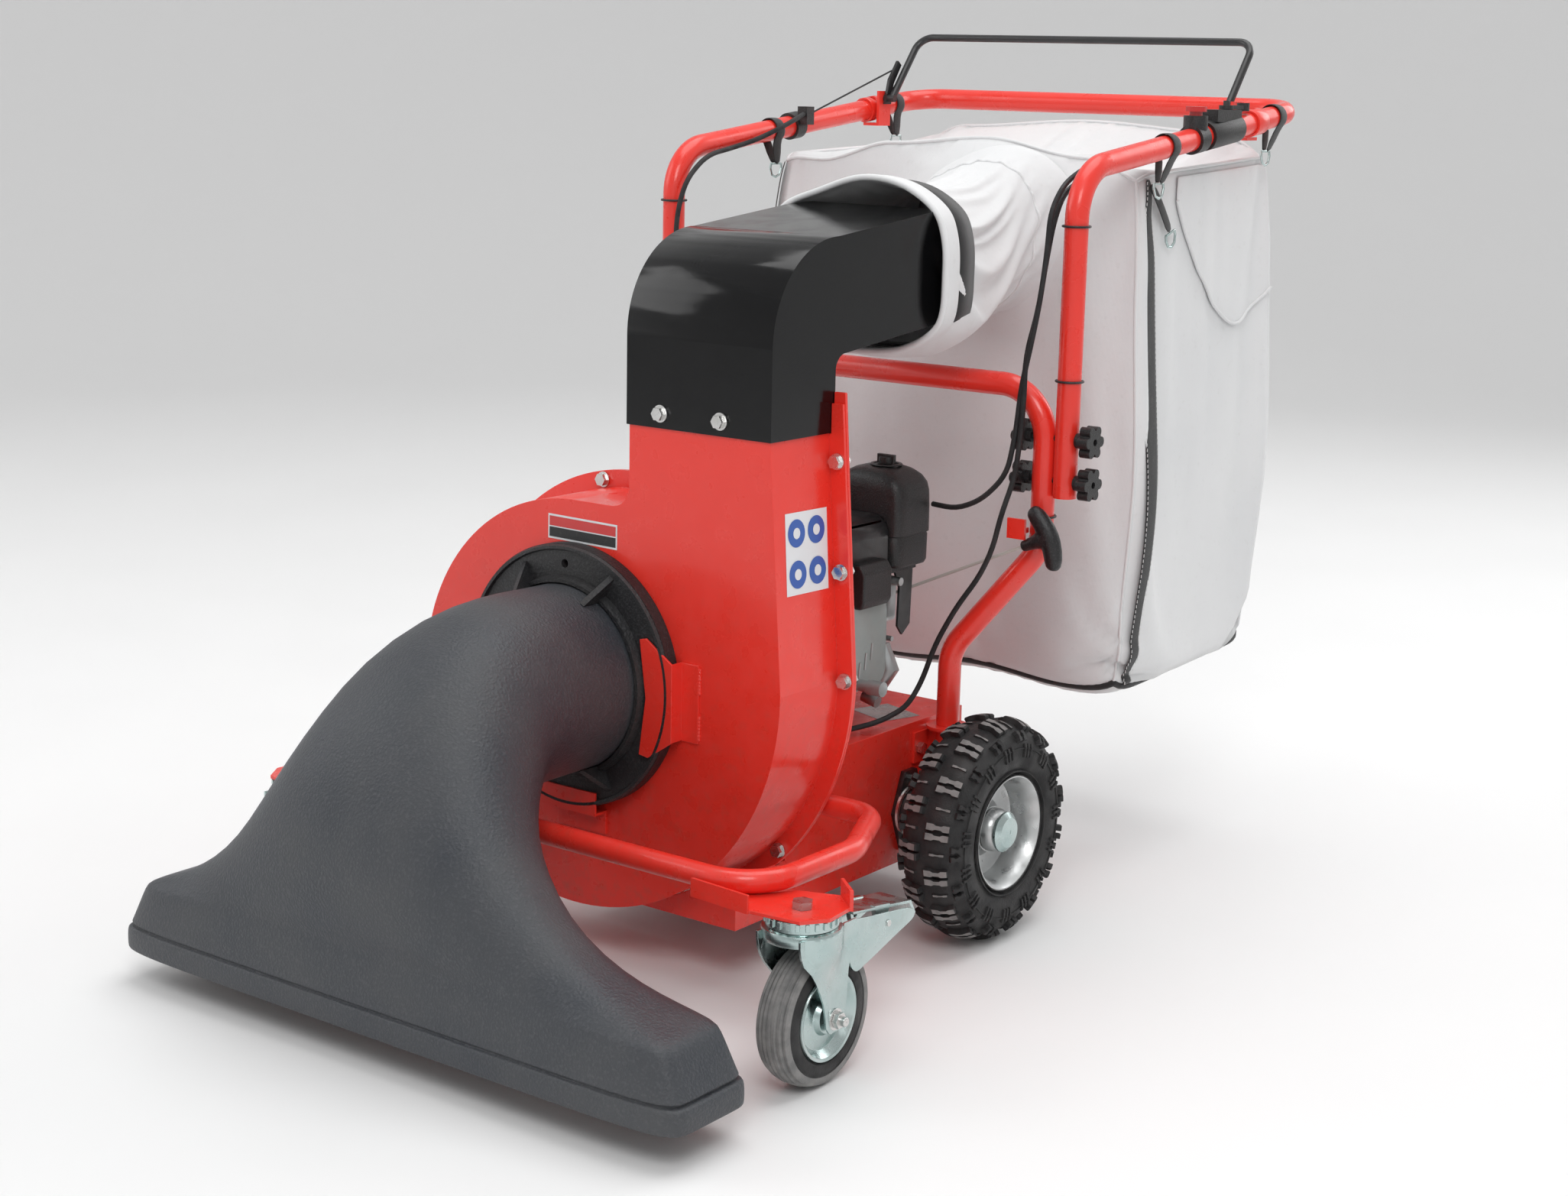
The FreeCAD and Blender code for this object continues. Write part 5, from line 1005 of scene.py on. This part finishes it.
def bag_point(u, v, w):
    low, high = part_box("collection_bag")
    half_width = (high.x - low.x) / 2
    a, b, c = 2 * u - 1, 2 * v - 1, 2 * w - 1
    longest = max(abs(a), abs(b), abs(c))
    shrink = longest / (abs(a) ** BAG_SQUARENESS + abs(b) ** BAG_SQUARENESS
                        + abs(c) ** BAG_SQUARENESS) ** (1 / BAG_SQUARENESS)
    a, b, c = a * shrink, b * shrink, c * shrink
    level = (c + 1) / 2
    x = a * (half_width + between(SIDE_SWELL, level))
    depth = (b + 1) / 2
    y = BAG_FRONT_Y + depth * (high.y - 0.006 - BAG_FRONT_Y)
    y += (depth - 0.35) * between(SIDE_SWELL, level)
    top = between(FRONT_TOP, x) * (1 - depth) + between(REAR_TOP, x) * depth
    bottom = low.z - 0.013 + 0.012 * depth + 0.004 * math.sin(7 * x / half_width)
    z = bottom + level * (top - bottom)
    near = math.hypot((x - SLEEVE_MIDDLE[0]) / 0.150, (z - SLEEVE_MIDDLE[1]) / 0.135)
    y -= 0.056 * math.exp(-near ** 3) * max(0.0, 1 - depth * 6)
    droop = noise.noise(Vector((x * 7, y * 7, z * 2.2))) * 0.006
    droop += noise.noise(Vector((x * 19, y * 19, z * 4))) * 0.002
    free = min(1.0, 6 * level, 6 * (1 - level))
    if abs(a) > abs(b):
        x += math.copysign(droop * free, x)
    else:
        y += math.copysign(droop * free, b)
    return Vector((x, y, z))


def settled(item, pins, growth, pressure):
    """Runs a cloth simulation on an item held at its pins and keeps the shape it ends in."""
    group = item.vertex_groups.new(name="pins")
    for index, weight in pins.items():
        group.add([index], weight, "REPLACE")
    mod = item.modifiers.new("cloth", "CLOTH")
    cloth_settings = mod.settings
    cloth_settings.quality = 6
    cloth_settings.mass = 0.35
    cloth_settings.tension_stiffness = 30
    cloth_settings.compression_stiffness = 26
    cloth_settings.shear_stiffness = 12
    cloth_settings.bending_stiffness = 1.6
    cloth_settings.tension_damping = 12
    cloth_settings.air_damping = 3
    cloth_settings.vertex_group_mass = "pins"
    cloth_settings.shrink_min = -growth
    cloth_settings.use_pressure = pressure > 0
    cloth_settings.uniform_pressure_force = pressure
    mod.collision_settings.use_collision = False
    scene = bpy.context.scene
    scene.frame_start = 1
    scene.frame_end = BAG_SIM_FRAMES
    mod.point_cache.frame_start = 1
    mod.point_cache.frame_end = BAG_SIM_FRAMES
    for number in range(1, BAG_SIM_FRAMES + 1):
        scene.frame_set(number)
    graph = bpy.context.evaluated_depsgraph_get()
    shape = item.evaluated_get(graph).to_mesh()
    places = [vertex.co.copy() for vertex in shape.vertices]
    item.evaluated_get(graph).to_mesh_clear()
    item.modifiers.remove(mod)
    for vertex, place in zip(item.data.vertices, places):
        vertex.co = place
    item.data.update()
    scene.frame_set(1)
    return item


def face_spot(item, index, side, v, w):
    """Point of the right or left face of the bag at v along the depth and w up the height, from 0 to 1."""
    column = BAG_CELLS[0] if side > 0 else 0
    j, k = min(v, 0.9999) * BAG_CELLS[1], min(w, 0.9999) * BAG_CELLS[2]
    j0, k0 = int(j), int(k)
    part_j, part_k = j - j0, k - k0
    place = Vector((0, 0, 0))
    for step_j, share_j in ((0, 1 - part_j), (1, part_j)):
        for step_k, share_k in ((0, 1 - part_k), (1, part_k)):
            place += item.data.vertices[index[(column, j0 + step_j, k0 + step_k)]].co * share_j * share_k
    return place


STRIP_WIDTHS = [(0.0, 0.021), (0.3, 0.025), (0.6, 0.034), (0.8, 0.036), (0.93, 0.016), (1.0, 0.009)]
FLAP_START, FLAP_LENGTH, FLAP_TOP = 0.26, 0.71, 0.985


def flap_edge(v):
    """Height share of the flap's rounded lower edge at a place along the bag's side."""
    return 0.680 + 0.255 * max(0.0, (0.72 - v) / 0.46) ** 1.6 + 0.05 * max(0.0, (v - 0.72) / 0.23) ** 2


def make_bag():
    points, faces, index = box_grid(BAG_CELLS, bag_point)
    shell = mesh_object("bag_shell", points, faces, sharp=0)
    columns, rows, levels = BAG_CELLS
    pins = {}
    for (i, j, k), number in index.items():
        ends = (i in (0, columns)) + (j in (0, rows))
        if k in (0, levels) and ends:
            pins[number] = 1.0
        elif ends == 2:
            pins[number] = 0.25
        elif k == 0:
            pins[number] = 0.6
        place = points[number]
        near = math.hypot(place.x - SLEEVE_MIDDLE[0], place.z - SLEEVE_MIDDLE[1])
        if j == 0 and near < 0.125:
            pins[number] = 1.0
    settled(shell, pins, 0.007, 0.5)

    def edge(keys):
        return [shell.data.vertices[index[key]].co.copy() for key in keys]

    finish_piece(shell, "bag_cloth", "chassis", ["collection_bag"])
    around = [(i, 0) for i in range(columns)] + [(columns, j) for j in range(rows)]
    around += [(i, rows) for i in range(columns, 0, -1)] + [(0, j) for j in range(rows, 0, -1)]
    rim = edge([(i, j, 0) for i, j in around])
    tube("bag_bottom_piping", [p + Vector((0, 0, -0.001)) for p in rim + rim[:1]], 0.0042, "strap_web",
         "chassis")
    hem = edge([(i, j, levels) for i, j in around])
    tube("bag_top_seam", hem + hem[:1], 0.0024, "bag_cloth", "chassis")
    for number, (i, j) in enumerate(((columns, 0), (columns, rows), (0, rows))):
        seam = edge([(i, j, k) for k in range(levels + 1)])
        tube(f"bag_side_seam_{number}", seam, 0.0022, "bag_cloth", "chassis")
    corner = edge([(0, 0, k) for k in range(levels + 1)])
    ribbon("bag_left_strip", [p + Vector((-0.002, -0.002, 0)) for p in corner],
           [Vector((0.010, -0.012, 0))] * len(corner), "strap_web", "chassis")

    strip, across = [], []
    for level in range(100):
        w = 0.004 + 0.990 * level / 99
        width = between(STRIP_WIDTHS, w)
        strip.append(face_spot(shell, index, 1, 0.030 + width / 0.74, w) + Vector((0.0030, 0, 0)))
        across.append(Vector((0.001, width, 0)))
    ribbon("bag_side_strip", strip, across, "strap_web", "chassis")
    stitches = []
    for place, wide in zip(strip[1:-1], across[1:-1]):
        for share in (-0.40, 0.40):
            spot = place + wide * share + Vector((0.0012, 0, 0))
            stitches.append(block(spot - Vector((0.0003, 0.0004, 0.0019)),
                                  spot + Vector((0.0003, 0.0004, 0.0019))))
    finish_piece(joined("bag_strip_stitches", stitches), "bag_cloth", "chassis", look="thread_white")

    flap_rows = []
    for step in range(29):
        v = FLAP_START + FLAP_LENGTH * step / 28
        low_w = flap_edge(v)
        for part in range(17):
            w = FLAP_TOP - (FLAP_TOP - low_w) * part / 16
            flap_rows.append(face_spot(shell, index, 1, v, w) + Vector((0.0028, 0, 0)))
    flap = mesh_object("bag_flap", flap_rows, grid_faces(29, 17, closed=False), sharp=0)
    thickened(flap, 0.0024, 0)
    subdivided(flap, 1)
    finish_piece(flap, "bag_cloth", "chassis")
    border = []
    for step in range(41):
        v = FLAP_START + FLAP_LENGTH * step / 40
        border.append(face_spot(shell, index, 1, v, flap_edge(v) + 0.004) + Vector((0.0045, 0, 0)))
    tube("bag_flap_hem", border, 0.0021, "bag_cloth", "chassis")
    make_sleeve()
    make_bag_straps(shell, index)


SLEEVE_RINGS = [
    # y, then corners (x, z) round the ring
    (-0.026, [(0.118, 0.694), (0.174, 0.702), (0.219, 0.732), (0.226, 0.789), (0.222, 0.832),
              (0.206, 0.861), (0.162, 0.885), (0.108, 0.890), (0.050, 0.873), (-0.004, 0.850),
              (-0.024, 0.806), (-0.014, 0.748), (0.020, 0.710), (0.066, 0.695)]),
    (0.055, [(0.114, 0.690), (0.170, 0.700), (0.217, 0.732), (0.225, 0.784), (0.225, 0.832),
             (0.209, 0.866), (0.158, 0.888), (0.106, 0.894), (0.050, 0.878), (-0.002, 0.852),
             (-0.024, 0.806), (-0.016, 0.746), (0.018, 0.706), (0.064, 0.690)]),
    (0.140, [(0.104, 0.700), (0.146, 0.712), (0.188, 0.742), (0.210, 0.788), (0.209, 0.834),
             (0.194, 0.868), (0.148, 0.892), (0.102, 0.899), (0.050, 0.884), (0.004, 0.856),
             (-0.018, 0.808), (-0.012, 0.752), (0.018, 0.714), (0.062, 0.700)]),
    (0.215, [(0.096, 0.718), (0.134, 0.734), (0.162, 0.764), (0.176, 0.806), (0.176, 0.842),
             (0.166, 0.872), (0.140, 0.896), (0.100, 0.903), (0.052, 0.890), (0.008, 0.862),
             (-0.012, 0.816), (-0.008, 0.762), (0.018, 0.728), (0.058, 0.712)]),
    (0.262, [(0.096, 0.722), (0.136, 0.740), (0.168, 0.772), (0.184, 0.812), (0.184, 0.846),
             (0.174, 0.878), (0.144, 0.904), (0.100, 0.911), (0.050, 0.898), (0.004, 0.868),
             (-0.018, 0.818), (-0.012, 0.762), (0.016, 0.722), (0.058, 0.708)]),
    (0.290, [(0.096, 0.706), (0.150, 0.726), (0.190, 0.764), (0.206, 0.812), (0.206, 0.850),
             (0.192, 0.888), (0.152, 0.916), (0.100, 0.924), (0.046, 0.910), (-0.012, 0.876),
             (-0.038, 0.820), (-0.030, 0.756), (0.008, 0.708), (0.054, 0.694)]),
]
SLEEVE_ROWS = 40
SLEEVE_SEAM_ROW = 33


def rings_round(mouth, steps):
    """Copies of the mouth's loop, each flattened to one distance along y and drawn in or out."""
    middle = sum(mouth, Vector()) / len(mouth)
    rows = []
    for shift, swell in steps:
        for place in mouth:
            off = place - middle
            rows.append(middle + Vector((off.x * swell, shift, off.z * swell)))
    return rows


def make_sleeve():
    rings = [[Vector((x, y, z)) for x, z in corners] for y, corners in SLEEVE_RINGS]
    loops = [smooth_loop([(p.x, p.y, p.z) for p in ring], 7) for ring in rings]
    places = [y for y, _ in SLEEVE_RINGS]
    points = []
    for row in range(SLEEVE_ROWS):
        y = places[0] + (places[-1] - places[0]) * row / (SLEEVE_ROWS - 1)
        for column in range(len(loops[0])):
            lines = [(place, loop[column]) for place, loop in zip(places, loops)]
            x = between([(place, p.x) for place, p in lines], y)
            z = between([(place, p.z) for place, p in lines], y)
            points.append(Vector((x, y, z)))
    count = len(loops[0])
    sleeve = mesh_object("bag_sleeve", points, grid_faces(SLEEVE_ROWS, count), sharp=0)
    pins = {}
    for row in range(SLEEVE_ROWS):
        for column in range(count):
            if row in (0, 1, SLEEVE_ROWS - 1, SLEEVE_ROWS - 2):
                pins[row * count + column] = 1.0
    settled(sleeve, pins, 0.012, 0.25)
    mouth = [sleeve.data.vertices[column].co.copy() for column in range(count)]
    crease = [sleeve.data.vertices[SLEEVE_SEAM_ROW * count + column].co.copy() for column in range(count)]
    thickened(sleeve, 0.0036, -1)
    subdivided(sleeve, 1)
    finish_piece(sleeve, "bag_cloth", "chassis")
    rows = rings_round(mouth, ((-0.0012, 0.99), (-0.0026, 1.012), (0.004, 1.026), (0.024, 1.026),
                               (0.0275, 1.012)))
    hem = mesh_object("bag_sleeve_hem", rows, grid_faces(5, count), sharp=0)
    thickened(hem, 0.0035, -1)
    subdivided(hem, 1)
    finish_piece(hem, "bag_cloth", "chassis")
    tube("bag_sleeve_rim", mouth + mouth[:1], 0.0038, "bag_cloth", "chassis")
    inside = rings_round(mouth, ((0.030, 0.955), (0.048, 0.955), (0.066, 0.955)))
    band = mesh_object("bag_sleeve_band", inside, grid_faces(3, count), sharp=0)
    thickened(band, 0.002, 0)
    finish_piece(band, "strap_web", "chassis")
    stitch = [place + Vector((0, -0.0005, 0)) for place in crease]
    tube("bag_sleeve_seam", stitch + stitch[:1], 0.0018, "bag_cloth", "chassis")


def d_ring(name, centre, across, down, body):
    """A bent wire ring with one straight side."""
    across, down = Vector(across).normalized(), Vector(down).normalized()
    corners = [(-0.011, 0), (0.011, 0), (0.012, 0.006), (0.008, 0.015), (0, 0.018), (-0.008, 0.015),
               (-0.012, 0.006)]
    points = [Vector(centre) + across * x + down * y for x, y in corners]
    return tube(name, points + points[:1], 0.0016, "zinc", body)


def make_bag_straps(shell, index):
    """Webbing slings over the handle tubes, with rings sewn to the top corners of the bag."""
    _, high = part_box("upper_handle")
    sling_radius = HANDLE_TUBE_RADIUS + 0.002
    for side, label in ((1, "right"), (-1, "left")):
        x = side * (high.x - HANDLE_TUBE_RADIUS)
        for number, y in enumerate(SLING_PLACES):
            z = handle_height(y)
            loop = []
            for step in range(15):
                angle = math.radians(-60 + 300 * step / 14)
                loop.append(Vector((x + side * sling_radius * math.cos(angle), y,
                                    z + sling_radius * math.sin(angle))))
            loop.insert(0, Vector((x - side * 0.006, y, z - 0.048)))
            loop.append(Vector((x - side * 0.010, y, z - 0.048)))
            wide = [Vector((0, 0.020, 0))] * len(loop)
            ribbon(f"bag_sling_{label}_{number}", loop, wide, "strap_web", "chassis", 0.0018)
            d_ring(f"bag_ring_{label}_{number}", (x - side * 0.008, y, z - 0.044), (0, 1, 0),
                   (0.05 * side, 0, -1), "chassis")
    hang = [face_spot(shell, index, 1, 0.05, 0.985) + Vector((0.004, 0, 0))]
    hang += [hang[0] + Vector((0.006, 0.012, -0.020)), hang[0] + Vector((0.007, 0.032, -0.046)),
             hang[0] + Vector((0.006, 0.046, -0.062))]
    ribbon("bag_hanging_strap", hang, [Vector((0, 0.014, 0.006))] * 4, "strap_web", "chassis")
    d_ring("bag_hanging_ring", hang[-1], (0, 0.9, 0.3), (0, 0.3, -1), "chassis")
    foot = shell.data.vertices[index[(BAG_CELLS[0], BAG_CELLS[1], 0)]].co
    gusset = [foot + Vector((0.002, -0.030, 0.0)), foot + Vector((0.003, -0.012, 0.016)),
              foot + Vector((0.001, 0.002, 0.040))]
    ribbon("bag_foot_gusset", gusset, [Vector((0, 0.012, -0.010))] * 3, "strap_web", "chassis")
    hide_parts("bag_straps")


def handle_height(y):
    """Height of the handle tube's middle at a distance along the machine."""
    return HANDLE_LOW_Z + (y - HANDLE_LOW_Y) * (HANDLE_HIGH_Z - HANDLE_LOW_Z) / (HANDLE_HIGH_Y - HANDLE_LOW_Y)


# ---- stage, camera, light ----------------------------------------------------------
def make_stage():
    """A pale floor that curves up into a backdrop on every side, soft lights and a white world."""
    profile = [(0.0, 0.0), (5.0, 0.0)]
    for step in range(1, 13):
        angle = math.radians(90 * step / 12)
        profile.append((5.0 + 3.0 * math.sin(angle), 3.0 - 3.0 * math.cos(angle)))
    profile.append((8.0, 9.0))
    points = [Vector((0, 0, -0.0005))]
    sides = 72
    for reach, height in profile[1:]:
        for side in range(sides):
            angle = TAU * side / sides
            points.append(Vector((reach * math.cos(angle), reach * math.sin(angle), height - 0.0005)))
    faces = [(0, 1 + side, 1 + (side + 1) % sides) for side in range(sides)]
    faces += [tuple(1 + index for index in face) for face in grid_faces(len(profile) - 1, sides)]
    floor = mesh_object("floor", points, faces, sharp=0)
    mat, tree, shader = new_material("floor_pale", (0.88, 0.88, 0.88), 0.75)
    tree.links.new(scaled(tree, noise_value(tree, 3), 0.65, 0.85), shader.inputs["Roughness"])
    floor.data.materials.append(mat)

    world = bpy.data.worlds.new("studio")
    bpy.context.scene.world = world
    world.use_nodes = True
    world.node_tree.nodes["Background"].inputs["Color"].default_value = (1.0, 1.0, 1.0, 1)
    world.node_tree.nodes["Background"].inputs["Strength"].default_value = 0.55
    lights = [
        ("key", (2.4, -3.0, 3.6), 1.8, 62),
        ("fill", (-3.4, -2.2, 2.6), 2.6, 34),
        ("top", (0.2, 0.6, 4.4), 3.4, 85),
        ("back", (1.0, 3.6, 2.4), 2.0, 30),
    ]
    for name, place, size, power in lights:
        data = bpy.data.lights.new(name, "AREA")
        data.size = size
        data.energy = power
        lamp = bpy.data.objects.new(name, data)
        bpy.context.scene.collection.objects.link(lamp)
        lamp.location = place
        lamp.rotation_euler = (Vector((0, 0, 0.45)) - Vector(place)).to_track_quat("-Z", "Y").to_euler()
    bpy.context.scene.view_settings.view_transform = "Standard"


CAMERA_AZIMUTH = 36.1
CAMERA_ELEVATION = 12.1
CAMERA_ROLL = 1.4
CAMERA_TARGET = (-0.1085, 0.2095, 0.3403)
CAMERA_DISTANCE = 3.1893
CAMERA_LENS = 55.96


def make_camera():
    a, e, r = (math.radians(v) for v in (CAMERA_AZIMUTH, CAMERA_ELEVATION, CAMERA_ROLL))
    back = Vector((math.sin(a) * math.cos(e), -math.cos(a) * math.cos(e), math.sin(e)))
    right = (-back).cross(Vector((0, 0, 1))).normalized()
    up = right.cross(-back)
    across = right * math.cos(r) + up * math.sin(r)
    upward = up * math.cos(r) - right * math.sin(r)
    data = bpy.data.cameras.new("camera")
    data.sensor_width = 36
    data.lens = CAMERA_LENS
    data.shift_x = -0.0228
    data.shift_y = -0.0039
    camera = bpy.data.objects.new("camera", data)
    bpy.context.scene.collection.objects.link(camera)
    matrix = Matrix((across, upward, back)).transposed().to_4x4()
    matrix.translation = Vector(CAMERA_TARGET) + back * CAMERA_DISTANCE
    camera.matrix_world = matrix
    bpy.context.scene.camera = camera


dress_cad()
make_nozzle()
make_drive_tyres()
make_drive_rims()
make_caster_tyres()
make_forks()
make_grip()
make_labels()
make_air_cleaner()
make_small_fittings()
soften_edges()
make_bag()
make_stage()
make_camera()
